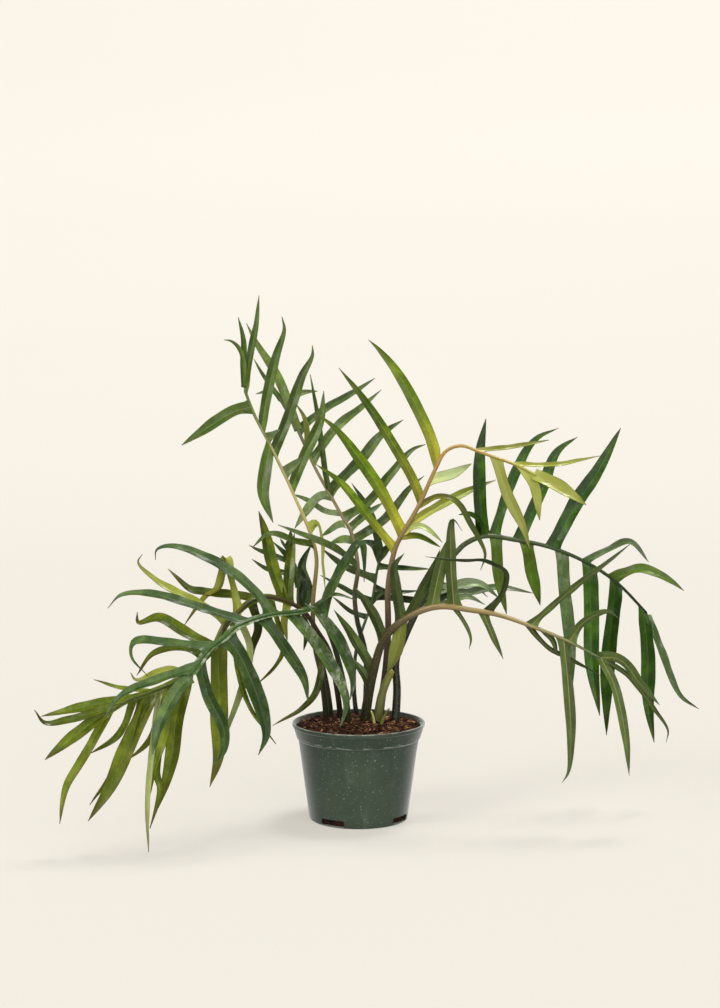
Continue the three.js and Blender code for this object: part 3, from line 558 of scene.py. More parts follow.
class LeafColours(bpy.types.PropertyGroup):
    lime: paint("Lime", "Fresh yellow-green lobes", 152, 154, 66)
    bleached: paint("Bleached", "Lobes that have lost their green", 186, 196, 156)
    frost: paint("Frost", "Silvery patches on older leaves", 168, 186, 160)
    scuff: paint("Scuff", "Dry rubbed specks on a blade", 196, 200, 172)
    withered: paint("Withered", "The drying tips", 150, 138, 84)


class StageSettings(bpy.types.PropertyGroup):
    camera_place: FloatVectorProperty(
        name="Camera", description="Where the camera stands", default=(0.00175, -2.4, 0.6135),
        subtype="TRANSLATION", unit="LENGTH",
    )
    camera_dip: FloatProperty(
        name="Dip", description="How far the camera looks down", default=math.radians(5.23),
        subtype="ANGLE", unit="ROTATION",
    )
    lens: FloatProperty(name="Lens", description="Focal length in millimetres", default=69.75)
    radius: length("Radius", "Radius of the round backdrop", 4.4)
    sweep: length("Sweep", "Radius of the curve from floor to wall", 1.5)
    wall: length("Wall", "Height of the backdrop", 4.5)
    colour: paint("Paper", "Colour of the floor and backdrop", 150, 147, 141)
    tint: paint("Glow colour", "Colour of the backdrop's own light", 254, 248, 236)
    glow: FloatProperty(name="Backdrop glow", description="Light from the backdrop itself", default=0.455)
    rise: FloatProperty(name="Wall glow", description="How much brighter the wall is", default=0.23)
    high: FloatProperty(name="High", description="Strength of the light overhead", default=2.2)
    left: FloatProperty(name="Left", description="Strength of the light at the left", default=1.5)
    front: FloatProperty(name="Front", description="Strength of the soft light in front", default=1.7)
    fill: FloatProperty(name="Fill", description="Strength of the light all round", default=0.3)


class PlantSettings(bpy.types.PropertyGroup):
    pot: PointerProperty(name="Pot", description="The nursery pot", type=PotSettings)
    soil: PointerProperty(name="Soil", description="The potting mix", type=SoilSettings)
    leaf: PointerProperty(name="Leaf", description="The form of the leaves", type=LeafSettings)
    colours: PointerProperty(name="Colours", description="Colours that leaves share", type=LeafColours)
    stage: PointerProperty(name="Stage", description="Backdrop, lights and camera", type=StageSettings)


# Curves

def metres(points):
    """Points in millimetres as vectors in metres"""
    return [Vector(point) * MM for point in points]


def centripetal(before, start, end, after, part):
    """A place between start and end on a smooth curve through four points"""
    t1 = math.sqrt((start - before).length)
    t2 = t1 + math.sqrt((end - start).length)
    t3 = t2 + math.sqrt((after - end).length)
    t = t1 + (t2 - t1) * part
    a = before.lerp(start, t / t1)
    b = start.lerp(end, (t - t1) / (t2 - t1))
    c = end.lerp(after, (t - t2) / (t3 - t2))
    d = a.lerp(b, t / t2)
    e = b.lerp(c, (t - t1) / (t3 - t1))
    return d.lerp(e, (t - t1) / (t2 - t1))


class Route:
    """A smooth curve through given points, read by the distance along it"""

    STEPS = 20

    def __init__(self, points):
        knots = [points[0] * 2 - points[1], *points, points[-1] * 2 - points[-2]]
        self.places = []
        for i in range(len(points) - 1):
            self.places += [centripetal(*knots[i:i + 4], k / self.STEPS) for k in range(self.STEPS)]
        self.places.append(points[-1].copy())
        self.marks = [0.0]
        for a, b in zip(self.places, self.places[1:]):
            self.marks.append(self.marks[-1] + (b - a).length)
        self.length = self.marks[-1]

    def at(self, distance):
        distance = min(max(distance, 0.0), self.length)
        i = min(bisect.bisect_right(self.marks, distance), len(self.marks) - 1)
        low, high = self.marks[i - 1], self.marks[i]
        return self.places[i - 1].lerp(self.places[i], (distance - low) / (high - low))

    def tangent(self, distance):
        reach = 1.5 * MM
        return (self.at(distance + reach) - self.at(distance - reach)).normalized()

    def nearest(self, point):
        """The distance along the curve of its place nearest to a point"""
        best = min(range(len(self.places)), key=lambda i: (self.places[i] - point).length)
        return self.marks[best]

    def frames(self, distances, face):
        """Place, tangent, side and face along the curve. The side is carried along without twisting"""
        side = (self.places[-1] - self.places[0]).cross(face).normalized()
        frames = []
        for distance in distances:
            tangent = self.tangent(distance)
            side = (side - tangent * side.dot(tangent)).normalized()
            frames.append((self.at(distance), tangent, side.copy(), side.cross(tangent).normalized()))
        return frames


# Meshes

class Layers:
    """A mesh's uv map, its marks (brightness, yellowing, bleaching, share along) and its wear"""

    def __init__(self, bm):
        self.uv = bm.loops.layers.uv.new("UVMap")
        self.marks = bm.verts.layers.float_color.new("marks")
        self.wear = bm.verts.layers.float_color.new("wear")


def grid_through(bm, layers, columns, rows, spot):
    """A grid of faces. spot(column, row) gives each corner's place, uv and marks"""
    verts = bmesh.ops.create_grid(bm, x_segments=columns, y_segments=rows, size=1)["verts"]
    uvs = {}
    for vert in verts:
        column = round((vert.co.x + 1) / 2 * columns)
        row = round((vert.co.y + 1) / 2 * rows)
        vert.co, uvs[vert], vert[layers.marks] = spot(column, row)
    faces = list({face for vert in verts for face in vert.link_faces})
    for face in faces:
        for loop in face.loops:
            loop[layers.uv].uv = uvs[loop.vert]
    return verts, faces


def tube_through(bm, layers, sides, distances, route, face, radius, marks):
    """A closed tube along a route. radius(distance, turn) is zero at both ends, which closes them"""
    frames = route.frames(distances, face)

    def spot(column, row):
        at, _, side, up = frames[row]
        turn = 2 * math.pi * column / sides
        out = side * math.cos(turn) + up * math.sin(turn)
        place = at + out * radius(distances[row], turn)
        return place, (column / sides, distances[row] * UV_PER_METRE), marks(distances[row])

    verts, faces = grid_through(bm, layers, sides, len(distances) - 1, spot)
    bmesh.ops.remove_doubles(bm, verts=verts, dist=0.004 * MM)
    return [face for face in faces if face.is_valid]


def add_batch(bm, fill):
    """Adds what fill(batch, layers) makes. A small mesh of its own is quicker than growing a large one"""
    batch = bmesh.new()
    fill(batch, Layers(batch))
    mesh = bpy.data.meshes.new("batch")
    batch.to_mesh(mesh)
    batch.free()
    bm.from_mesh(mesh)
    bpy.data.meshes.remove(mesh)


def even(span, step):
    """Evenly spaced distances along a span, about a step apart"""
    count = max(6, round(span / step))
    return [span * i / count for i in range(count + 1)]


def smooth(low, high, value):
    """Goes from 0 to 1, slowly at both ends, while the value goes from low to high"""
    t = min(max((value - low) / (high - low), 0.0), 1.0)
    return t * t * (3 - 2 * t)


def smooth_faces(bm):
    for face in bm.faces:
        face.smooth = True


def placed(name, data):
    """A new object of some data, in the scene"""
    made = bpy.data.objects.new(name, data)
    bpy.context.scene.collection.objects.link(made)
    return made


def object_of(name, bm, materials=()):
    """A new object of a mesh that is then no longer needed for editing"""
    mesh = bpy.data.meshes.new(name)
    bm.to_mesh(mesh)
    bm.free()
    for material in materials:
        mesh.materials.append(material)
    return placed(name, mesh)


def add_piece(name, bm, materials, slot, node):
    """Makes a piece of the mesh, stands it in for its node and gives it its finish"""
    piece = object_of(name, bm, materials)
    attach(piece, "root")
    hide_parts(node)
    return piece


# Materials

class Shader:
    """A material's node tree, filled one node at a time"""

    def __init__(self, name):
        self.material = bpy.data.materials.new(name)
        self.material.use_nodes = True
        self.tree = self.material.node_tree
        self.tree.nodes.clear()

    def node(self, kind, inputs=None, **settings):
        made = self.tree.nodes.new("ShaderNode" + kind)
        for key, value in settings.items():
            setattr(made, key, value)
        for key, value in (inputs or {}).items():
            if isinstance(value, bpy.types.NodeSocket):
                self.tree.links.new(value, made.inputs[key])
            else:
                made.inputs[key].default_value = value
        return made

    def math(self, operation, first, second=0.0):
        return self.node("Math", {0: first, 1: second}, operation=operation).outputs[0]

    def step(self, value, low, high, least=0.0, most=1.0):
        """Goes smoothly from least to most while the value goes from low to high"""
        inputs = {"Value": value, "From Min": low, "From Max": high, "To Min": least, "To Max": most}
        return self.node("MapRange", inputs, interpolation_type="SMOOTHSTEP").outputs[0]

    def mix(self, factor, first, second):
        inputs = {0: factor, 6: first, 7: second}
        return self.node("Mix", inputs, data_type="RGBA").outputs[2]

    def noise(self, vector, scale, detail=2.0, roughness=0.5):
        inputs = {"Vector": vector, "Scale": scale, "Detail": detail, "Roughness": roughness}
        return self.node("TexNoise", inputs).outputs[0]

    def object_place(self):
        return self.node("TexCoord").outputs["Object"]

    def stretched(self, vector, scale):
        return self.node("Mapping", {"Vector": vector, "Scale": scale}).outputs[0]

    def uv(self):
        """The piece's uv map as across, along and the pair"""
        both = self.node("UVMap", uv_map="UVMap").outputs[0]
        parts = self.node("SeparateXYZ", {0: both}).outputs
        return parts[0], parts[1], both

    def wear(self):
        """How much of the veins and how many scuffs show"""
        attribute = self.node("Attribute", attribute_name="wear", attribute_type="GEOMETRY").outputs
        parts = self.node("SeparateColor", {0: attribute["Color"]}).outputs
        return parts[0], parts[1]

    def marks(self):
        """Brightness, yellowing, bleaching and the share along"""
        attribute = self.node("Attribute", attribute_name="marks", attribute_type="GEOMETRY").outputs
        parts = self.node("SeparateColor", {0: attribute["Color"]}).outputs
        return parts[0], parts[1], parts[2], attribute["Alpha"]

    def bump(self, height, strength, distance):
        inputs = {"Height": height, "Strength": strength, "Distance": distance}
        return self.node("Bump", inputs).outputs[0]

    def brightened(self, colour, amount):
        """The colour times an amount"""
        return self.node("VectorMath", {0: colour, 3: amount}, operation="SCALE").outputs[0]

    def finish(self, surface):
        self.node("OutputMaterial", {"Surface": surface})
        return self.material


def blade_material(name, base, finish, settings):
    """A leaf blade: lighter patches, partly its own tone and partly painted sheen, painted light and shade on
    the two halves of each lobe, midrib, fine side veins, coloured edges, light shining through
    """
    shader = Shader(name)
    place = shader.object_place()
    across, along, _ = shader.uv()
    tone, yellow, bleach, tip = shader.marks()
    veined, scuffed = shader.wear()
    colours = settings.colours
    vein = srgb(*finish["vein"])
    sideways = shader.math("SUBTRACT", across, 0.5)
    off_centre = shader.math("MULTIPLY", shader.math("ABSOLUTE", sideways), 2.0)

    # Lighter patches in the leaf's light colour: partly the leaf's own tone, partly painted sheen
    patches = shader.step(shader.noise(place, 38, 3.0, 0.6), 0.4, 0.72, 0.0, 0.8)
    colour = shader.mix(patches, srgb(*base), srgb(*finish["light"]))
    colour = shader.mix(shader.step(tip, 0.0, 0.5, finish["rooted"], 0.0), colour, srgb(*finish["root"]))
    mottle = shader.step(shader.noise(place, 420, 3.0, 0.7), 0.3, 0.75, 0.84, 1.14)
    colour = shader.brightened(colour, mottle)
    # Painted light and shade: one half of each lobe is lighter and the other darker, as a light from one side
    # would make the fold
    painted_fold_shading = shader.step(sideways, -0.04, 0.04, 0.8, 1.2)
    colour = shader.brightened(colour, painted_fold_shading)
    long_patches = shader.noise(shader.stretched(place, (1, 1, 0.3)), 120, 3.0, 0.6)
    colour = shader.brightened(colour, shader.step(long_patches, 0.3, 0.72, 0.84, 1.16))
    colour = shader.mix(yellow, colour, (*colours.lime, 1))
    colour = shader.mix(bleach, colour, (*colours.bleached, 1))
    colour = shader.brightened(colour, shader.step(tone, 0.0, 1.0, 0.4, 2.4))

    slant = shader.math("MULTIPLY", off_centre, 1.6)
    count = shader.math("ADD", shader.math("MULTIPLY", along, SIDE_VEINS), slant)
    wavelet = shader.math("PINGPONG", count, 0.5)
    side_veins = shader.math("MULTIPLY", shader.step(wavelet, 0.0, 0.14, 0.14, 0.0), veined)
    colour = shader.mix(side_veins, colour, vein)
    fading = shader.step(tip, 0.35, 1.0, finish["midrib"], 0.2 * finish["midrib"])
    strength = shader.math("MULTIPLY", veined, fading)
    midrib = shader.math("MULTIPLY", shader.step(off_centre, 0.04, 0.13, 1.0, 0.0), strength)
    colour = shader.mix(midrib, colour, vein)
    colour = shader.mix(shader.step(off_centre, 0.86, 0.98, 0.0, 0.55), colour, srgb(*finish["edge"]))
    frosted = shader.step(shader.noise(place, 55, 4.0, 0.65), 0.54, 0.72, 0.0, finish["frost"])
    colour = shader.mix(frosted, colour, (*colours.frost, 1))
    rubbed = shader.step(shader.noise(shader.stretched(place, (1, 1, 0.6)), 170, 5.0, 0.75), 0.42, 0.62)
    worn = shader.step(shader.noise(place, 34, 2.0), 0.42, 0.6, 0.0, 0.75)
    rubbed = shader.math("MULTIPLY", shader.math("MULTIPLY", rubbed, worn), scuffed)
    colour = shader.mix(rubbed, colour, (*colours.scuff, 1))
    colour = shader.mix(shader.step(tip, 0.7, 0.97, 0.0, 0.5), colour, srgb(*finish["edge"]))
    colour = shader.mix(shader.step(tip, 0.95, 1.0, 0.0, 0.6), colour, (*colours.withered, 1))

    grain = shader.noise(place, 900, 2.0)
    relief = shader.math("ADD", shader.math("MULTIPLY", side_veins, 3.0), grain)
    normal = shader.bump(relief, 0.25, 0.35 * MM)
    rough = shader.step(shader.noise(place, 90, 3.0), 0.3, 0.7, 0.22, 0.36)
    body = shader.node("BsdfPrincipled", {
        "Base Color": colour, "Roughness": rough, "Normal": normal,
        "Specular IOR Level": settings.leaf.gloss, "Coat Weight": 0.05, "Coat Roughness": 0.2,
    })
    through = shader.mix(0.45, colour, (*colours.lime, 1))
    glow = shader.node("BsdfTranslucent", {"Color": through})
    both = shader.node("MixShader", {0: settings.leaf.glow, 1: body.outputs[0], 2: glow.outputs[0]})
    return shader.finish(both.outputs[0])


def stalk_material(name, stops, settings):
    """A fleshy stalk whose colour changes from the soil to the tip, with fine lines along it"""
    shader = Shader(name)
    place = shader.object_place()
    _, _, both = shader.uv()
    _, _, _, along = shader.marks()
    wander = shader.step(shader.noise(place, 30, 2.0), 0.2, 0.8, -0.05, 0.05)
    ramp = shader.node("ValToRGB", {0: shader.math("ADD", along, wander)})
    elements = ramp.color_ramp.elements
    for _ in stops[2:]:
        elements.new(0.5)
    for position, element, stop in zip(STALK_STOPS, elements, stops):
        element.position = position
        element.color = srgb(*stop)
    streaks = shader.noise(shader.stretched(both, (34, 4, 1)), 1.0, 3.0, 0.6)
    colour = shader.brightened(ramp.outputs[0], shader.step(streaks, 0.3, 0.7, 0.72, 1.25))
    speckle = shader.step(shader.noise(place, 700, 2.0), 0.62, 0.72, 0.0, 0.3)
    colour = shader.mix(speckle, colour, (*settings.colours.scuff, 1))
    normal = shader.bump(streaks, 0.3, 0.3 * MM)
    body = shader.node("BsdfPrincipled", {
        "Base Color": colour, "Roughness": 0.28, "Normal": normal, "Specular IOR Level": 0.28,
        "Subsurface Weight": 0.06, "Subsurface Radius": (0.4, 0.6, 0.1), "Subsurface Scale": 2 * MM,
    })
    return shader.finish(body.outputs[0])


def pot_material(settings):
    """Moulded plastic: satin grey-green, with faint streaks, pale flecks of dust and a chalky line; painted
    shade on the collar and towards the floor, a painted sheen at the sides and a painted highlight along the
    rim's top
    """
    shader = Shader("moulded plastic")
    place = shader.object_place()
    height = shader.node("SeparateXYZ", {0: place}).outputs[2]
    dust = (*settings.dust, 1)
    clouds = shader.step(shader.noise(place, 22, 4.0, 0.6), 0.3, 0.75, 0.9, 1.14)
    below = shader.math("SUBTRACT", settings.collar_foot, height)
    # Painted shade: the collar and the band just below it are darker, as the sloping collar catches less
    # light
    shade = shader.step(below, -8 * MM, 30 * MM, 0.8, 1.0)
    # Painted shade: the pot is darker towards the floor
    painted_foot_shade = shader.step(height, 0.0, 16 * MM, 0.86, 1.0)
    shade = shader.math("MULTIPLY", shade, shader.math("MULTIPLY", painted_foot_shade, clouds))
    colour = shader.brightened((*settings.colour,), shade)
    # Painted sheen: the sides are lightened in the dust colour where they turn away, standing in for light
    # glancing off them
    painted_sheen_facing = shader.node("LayerWeight", {0: 0.5}).outputs[1]
    colour = shader.mix(shader.step(painted_sheen_facing, 0.4, 0.95, 0.0, 0.45), colour, dust)
    streaks = shader.noise(shader.stretched(place, (1, 1, 0.18)), 120, 4.0, 0.6)
    film = shader.step(streaks, 0.5, 0.8, 0.0, 0.07)
    colour = shader.mix(film, colour, dust)
    smudge = shader.step(shader.noise(place, 60, 5.0, 0.7), 0.56, 0.75, 0.0, 0.08)
    colour = shader.mix(smudge, colour, dust)
    flecks = shader.noise(place, 420, 2.0, 0.5)
    colour = shader.mix(shader.step(flecks, 0.64, 0.72, 0.0, settings.dustiness), colour, dust)
    wander = shader.step(shader.noise(place, 24, 2.0), 0.3, 0.7, -1.6 * MM, 1.6 * MM)
    under_step = shader.math("ADD", shader.math("ADD", below, 1.2 * MM), wander)
    line = shader.step(shader.math("ABSOLUTE", under_step), 0.0, 1.1 * MM, 0.75, 0.0)
    broken = shader.step(shader.noise(place, 120, 3.0), 0.42, 0.6)
    colour = shader.mix(shader.math("MULTIPLY", line, broken), colour, dust)
    # Painted highlight: a pale band along the top of the rim, in the dust colour, broken by the same noise as
    # the line
    lip = shader.step(height, settings.height - 1.4 * MM, settings.height, 0.0, 0.6)
    colour = shader.mix(shader.math("MULTIPLY", lip, broken), colour, dust)
    grain = shader.noise(place, 1500, 2.0)
    normal = shader.bump(grain, 0.12, 0.15 * MM)
    rough = shader.step(film, 0.0, 0.07, 0.38, 0.56)
    body = shader.node("BsdfPrincipled", {
        "Base Color": colour, "Roughness": rough, "Normal": normal, "Specular IOR Level": 0.45,
        "Sheen Weight": 1.0, "Sheen Roughness": 0.35,
    })
    return shader.finish(body.outputs[0])


def soil_material(settings):
    """Bark and coir: each flake has its own brown, with a fibrous grain"""
    shader = Shader("bark and coir")
    place = shader.object_place()
    tone, _, _, _ = shader.marks()
    fibre = shader.noise(shader.stretched(place, (1, 1, 2.5)), 420, 4.0, 0.7)
    level = shader.math("ADD", tone, shader.step(fibre, 0.25, 0.75, -0.16, 0.16))
    ramp = shader.node("ValToRGB", {0: level})
    elements = ramp.color_ramp.elements
    elements.new(0.5)
    browns = (settings.dark, settings.mid, settings.light)
    for position, element, stop in zip((0.12, 0.5, 0.95), elements, browns):
        element.position = position
        element.color = (*stop, 1)
    normal = shader.bump(fibre, 0.6, 0.6 * MM)
    body = shader.node("BsdfPrincipled", {
        "Base Color": ramp.outputs[0], "Roughness": 0.8, "Normal": normal, "Specular IOR Level": 0.12,
    })
    return shader.finish(body.outputs[0])


def paper_material(settings):
    """The seamless backdrop, which gives back some light of its own"""
    shader = Shader("backdrop paper")
    height = shader.node("SeparateXYZ", {0: shader.object_place()}).outputs[2]
    glow = shader.step(height, 0.0, 1.3, settings.glow, settings.glow + settings.rise)
    body = shader.node("BsdfPrincipled", {
        "Base Color": (*settings.colour, 1), "Roughness": 0.9, "Specular IOR Level": 0.1,
        "Emission Color": (*settings.tint, 1), "Emission Strength": glow,
    })
    return shader.finish(body.outputs[0])


# Pot

def rounded_profile(corners):
    """A profile of (radius, height, rounding) corners, with an arc of the given reach at each corner"""
    points = []
    for i, (r, z, reach) in enumerate(corners):
        corner = Vector((r, 0, z))
        if reach == 0:
            points.append(corner)
            continue
        before = Vector((corners[i - 1][0], 0, corners[i - 1][1]))
        after = Vector((corners[i + 1][0], 0, corners[i + 1][1]))
        start = corner + (before - corner).normalized() * reach
        end = corner + (after - corner).normalized() * reach
        for k in range(6):
            t = k / 5
            points.append(start.lerp(corner, t).lerp(corner.lerp(end, t), t))
    return points


def spun(bm, points, steps):
    """The body of a profile turned round the axis, closed where it meets the axis"""
    verts = [bm.verts.new(point) for point in points]
    edges = [bm.edges.new(pair) for pair in zip(verts, verts[1:])]
    bmesh.ops.spin(
        bm, geom=verts + edges, cent=(0, 0, 0), axis=(0, 0, 1), angle=2 * math.pi, steps=steps,
        use_merge=True,
    )
    bmesh.ops.remove_doubles(bm, verts=bm.verts[:], dist=0.01 * MM)
    bmesh.ops.recalc_face_normals(bm, faces=bm.faces[:])


def inner_radius(pot, height):
    """The pot's inner radius at a height above its floor"""
    if height < pot.collar_foot:
        low, high, part = pot.foot_radius, pot.body_radius, height / pot.collar_foot
    else:
        low, high = pot.collar_radius, pot.rim_radius - 1.2 * MM
        part = (height - pot.collar_foot) / (pot.height - pot.collar_foot)
    return low + (high - low) * part - pot.wall


def slot_cutters(pot):
    """One mesh of round-edged blocks, which cut the drain slots"""
    bm = bmesh.new()
    depth = 18 * MM
    rounding = 2.6 * MM
    for i in range(pot.slot_count):
        cube = bmesh.ops.create_cube(bm, size=1)["verts"]
        size = Matrix.Diagonal((depth, pot.slot_width, pot.slot_height, 1))
        out = Matrix.Translation((pot.foot_radius, 0, pot.slot_foot + pot.slot_height / 2))
        turn = Matrix.Rotation(pot.first_slot + 2 * math.pi * i / pot.slot_count, 4, "Z")
        bmesh.ops.transform(bm, matrix=turn @ out @ size, verts=cube)
        edges = [edge for edge in {edge for vert in cube for edge in vert.link_edges}
                 if abs((edge.verts[0].co - edge.verts[1].co).length - depth) < 0.001 * MM]
        bmesh.ops.bevel(
            bm, geom=edges, offset=rounding, segments=4, profile=0.5, affect="EDGES", material=-1,
        )
    return object_of("slot_cutters", bm)


def cut(piece, cutter):
    """Takes the cutter out of the piece, and removes it"""
    modifier = piece.modifiers.new("slots", "BOOLEAN")
    modifier.operation = "DIFFERENCE"
    modifier.solver = "EXACT"
    modifier.object = cutter
    ready = piece.evaluated_get(bpy.context.evaluated_depsgraph_get())
    mesh = bpy.data.meshes.new_from_object(ready)
    piece.modifiers.clear()
    old = piece.data
    piece.data = mesh
    bpy.data.meshes.remove(old)
    bpy.data.meshes.remove(cutter.data)


def make_pot(settings):
    pot = settings.pot
    wall = pot.wall
    foot = pot.foot_radius
    lip_foot = pot.height - pot.lip
    collar_top = pot.rim_radius - 1.2 * MM
    corners = [
        (0, 0.8 * MM, 0), (foot - 12 * MM, 0.8 * MM, 0), (foot - 10.5 * MM, 0, 0.3 * MM),
        (foot - 0.4 * MM, 0, 2.6 * MM), (pot.body_radius, pot.collar_foot - 1.6 * MM, 0.5 * MM),
        (pot.collar_radius - 0.3 * MM, pot.collar_foot - 0.2 * MM, 0.8 * MM),
        (collar_top, lip_foot, 0.4 * MM), (pot.rim_radius, lip_foot + 1 * MM, 0.4 * MM),
        (pot.rim_radius, pot.height, 0.9 * MM),
        (inner_radius(pot, pot.height) + 0.6 * MM, pot.height, 0.6 * MM),
        (inner_radius(pot, pot.collar_foot + 1 * MM), pot.collar_foot + 1 * MM, 0.6 * MM),
        (inner_radius(pot, pot.collar_foot - 1 * MM), pot.collar_foot - 1 * MM, 0.6 * MM),
        (foot - wall, pot.floor, 1.2 * MM), (0, pot.floor, 0),
    ]
    bm = bmesh.new()
    spun(bm, rounded_profile(corners), POT_STEPS)
    smooth_faces(bm)
    piece = add_piece("nursery_pot", bm, [pot_material(pot)], "pot_plastic", "pot")
    cut(piece, slot_cutters(pot))
    soften_edges(piece)


def soften_edges(piece):
    """Smooth faces, with sharp edges kept where the surface breaks"""
    sharpest = math.radians(38)
    bm = bmesh.new()
    bm.from_mesh(piece.data)
    smooth_faces(bm)
    for edge in bm.edges:
        edge.smooth = edge.is_manifold and edge.calc_face_angle(0) < sharpest
    bm.to_mesh(piece.data)
    bm.free()


# Soil

def soil_height(soil, edge, x, y):
    """How high the mix stands at a place, before the chips"""
    out = min(math.hypot(x, y) / edge, 1.0)
    lumps = noise.noise(Vector((x, y, 0)) * 55) * 1.8 * MM
    crumbs = noise.noise(Vector((x, y, 3)) * 160) * 0.9 * MM
    return soil.level + soil.dome * (1 - out * out) + (lumps + crumbs)


def soil_bed(bm, layers, settings, edge):
    """The body of the mix, from the pot's floor to its uneven top"""
    pot, soil = settings.pot, settings.soil
    foot = pot.floor + 0.3 * MM
    clear = soil.gap
    corners = [
        (0, foot, 0), (inner_radius(pot, foot) - clear, foot, 0),
        (inner_radius(pot, pot.collar_foot - 2 * MM) - clear, pot.collar_foot - 2 * MM, 0),
        (inner_radius(pot, pot.collar_foot + 2 * MM) - clear, pot.collar_foot + 4 * MM, 0),
    ]
    rings = 26
    corners += [(edge * (1 - i / rings), soil.level, 0) for i in range(rings + 1)]
    spun(bm, rounded_profile(corners), SOIL_STEPS)
    for vert in bm.verts:
        grain = noise.noise(vert.co * 90) * 0.5 + 0.5
        if vert.co.z > soil.level - 0.5 * MM:
            vert.co.z = soil_height(soil, edge, vert.co.x, vert.co.y)
        vert[layers.marks] = (0.1 + 0.35 * grain, 0, 0, 0)


def chip_shapes(bm, draw):
    """A few flakes of bark: blocks whose corners are broken unevenly"""
    shapes = []
    for _ in range(8):
        before = set(bm.faces)
        verts = bmesh.ops.create_cube(bm, size=1)["verts"]
        edges = {edge for vert in verts for edge in vert.link_edges}
        bmesh.ops.subdivide_edges(bm, edges=list(edges), cuts=1, use_grid_fill=True)
        faces = [face for face in bm.faces if face not in before]
        verts = list({vert for face in faces for vert in face.verts})
        for vert in sorted(verts, key=lambda v: tuple(v.co)):
            vert.co *= draw.uniform(0.62, 1.08)
            if vert.co.length > 0.7:
                vert.co *= 0.82
        shapes.append(faces)
    return shapes


def scatter_chips(bm, layers, soil, count, edge, draw):
    """Flakes of bark lying every way on the mix, clear of the stalks"""
    longest, shortest = 7.5 * MM, 2.2 * MM
    pale_share, paler = 0.07, 0.3
    clear_of_stalks = 4 * MM
    shapes = chip_shapes(bm, draw)
    feet = [Vector(each["stalk"][0]) * MM for each in (*FRONDS.values(), *SHOOTS.values())]
    for _ in range(count):
        out = (edge - 1.5 * MM) * math.sqrt(draw.random())
        turn = draw.uniform(0, 2 * math.pi)
        x, y = out * math.cos(turn), out * math.sin(turn)
        length = draw.uniform(shortest, longest)
        breadth = length * draw.uniform(0.3, 0.65)
        thickness = length * draw.uniform(0.12, 0.3)
        size = Matrix.Diagonal((length, breadth, thickness, 1))
        tilt = Matrix.Rotation(draw.gauss(0, 0.45), 4, "X") @ Matrix.Rotation(draw.gauss(0, 0.35), 4, "Y")
        heading = Matrix.Rotation(draw.uniform(0, math.pi), 4, "Z")
        lift = soil_height(soil, edge, x, y) + draw.uniform(-0.2, 1.1) * MM
        tone = draw.gauss(0.42, 0.17) + (paler if draw.random() < pale_share else 0)
        tone = min(1.0, max(0.0, tone))
        shape = draw.choice(shapes)
        if min((Vector((x, y)) - foot.to_2d()).length for foot in feet) < clear_of_stalks:
            continue
        copy = bmesh.ops.duplicate(bm, geom=shape)["geom"]
        faces = [part for part in copy if isinstance(part, bmesh.types.BMFace)]
        verts = list({vert for face in faces for vert in face.verts})
        matrix = Matrix.Translation((x, y, lift)) @ heading @ tilt @ size
        bmesh.ops.transform(bm, matrix=matrix, verts=verts)
        for vert in verts:
            vert[layers.marks] = (tone, 0, 0, 0)
    spent = list({vert for shape in shapes for face in shape for vert in face.verts})
    bmesh.ops.delete(bm, geom=spent, context="VERTS")


def scatter_fibres(bm, layers, soil, count, edge, draw):
    """Curved strands of coir lying on the mix"""
    thickness = 0.22 * MM
    for _ in range(count):
        out = (edge - 8 * MM) * math.sqrt(draw.random())
        turn = draw.uniform(0, 2 * math.pi)
        heading = draw.uniform(0, 2 * math.pi)
        bend = draw.uniform(-1.6, 1.6)
        reach = draw.uniform(5, 13) * MM
        tone = draw.uniform(0.45, 0.95)
        points = []
        x, y = out * math.cos(turn), out * math.sin(turn)
        for k in range(4):
            z = soil_height(soil, edge, x, y) + draw.uniform(0.3, 1.6) * MM
            points.append(Vector((x, y, z)))
            x += reach / 3 * math.cos(heading)
            y += reach / 3 * math.sin(heading)
            heading += bend / 3
        route = Route(points)
        distances = even(route.length, route.length / 6)
        tube_through(
            bm, layers, 4, distances, route, Vector((0, 0, 1)),
            lambda d, _, span=route.length: thickness * (0 < d < span), lambda d: (tone, 0, 0, 0),
        )


def make_soil(settings):
    soil = settings.soil
    draw = random.Random(SOIL_SEED)
    edge = inner_radius(settings.pot, soil.level) - soil.gap - 0.3 * MM
    bm = bmesh.new()
    layers = Layers(bm)
    soil_bed(bm, layers, settings, edge)
    batches = 24
    chips, fibres = soil.chip_count // batches, soil.fibre_count // batches
    for _ in range(batches):
        add_batch(bm, lambda batch, own: scatter_chips(batch, own, soil, chips, edge, draw))
        add_batch(bm, lambda batch, own: scatter_fibres(batch, own, soil, fibres, edge, draw))
    piece = add_piece("potting_mix", bm, [soil_material(soil)], "potting_mix", "soil")
    piece.data.shade_flat()


# Leaves

def lobe_width(part):
    """A lobe's width at a share of its length, as a share of its full width"""
    belly = 0.9 + 0.1 * math.exp(-(((part - 0.45) / 0.22) ** 2))
    beyond = min(max((part - 0.5) / 0.5, 0.0), 1.0)
    return belly * (1 - beyond ** 1.9) ** 0.95


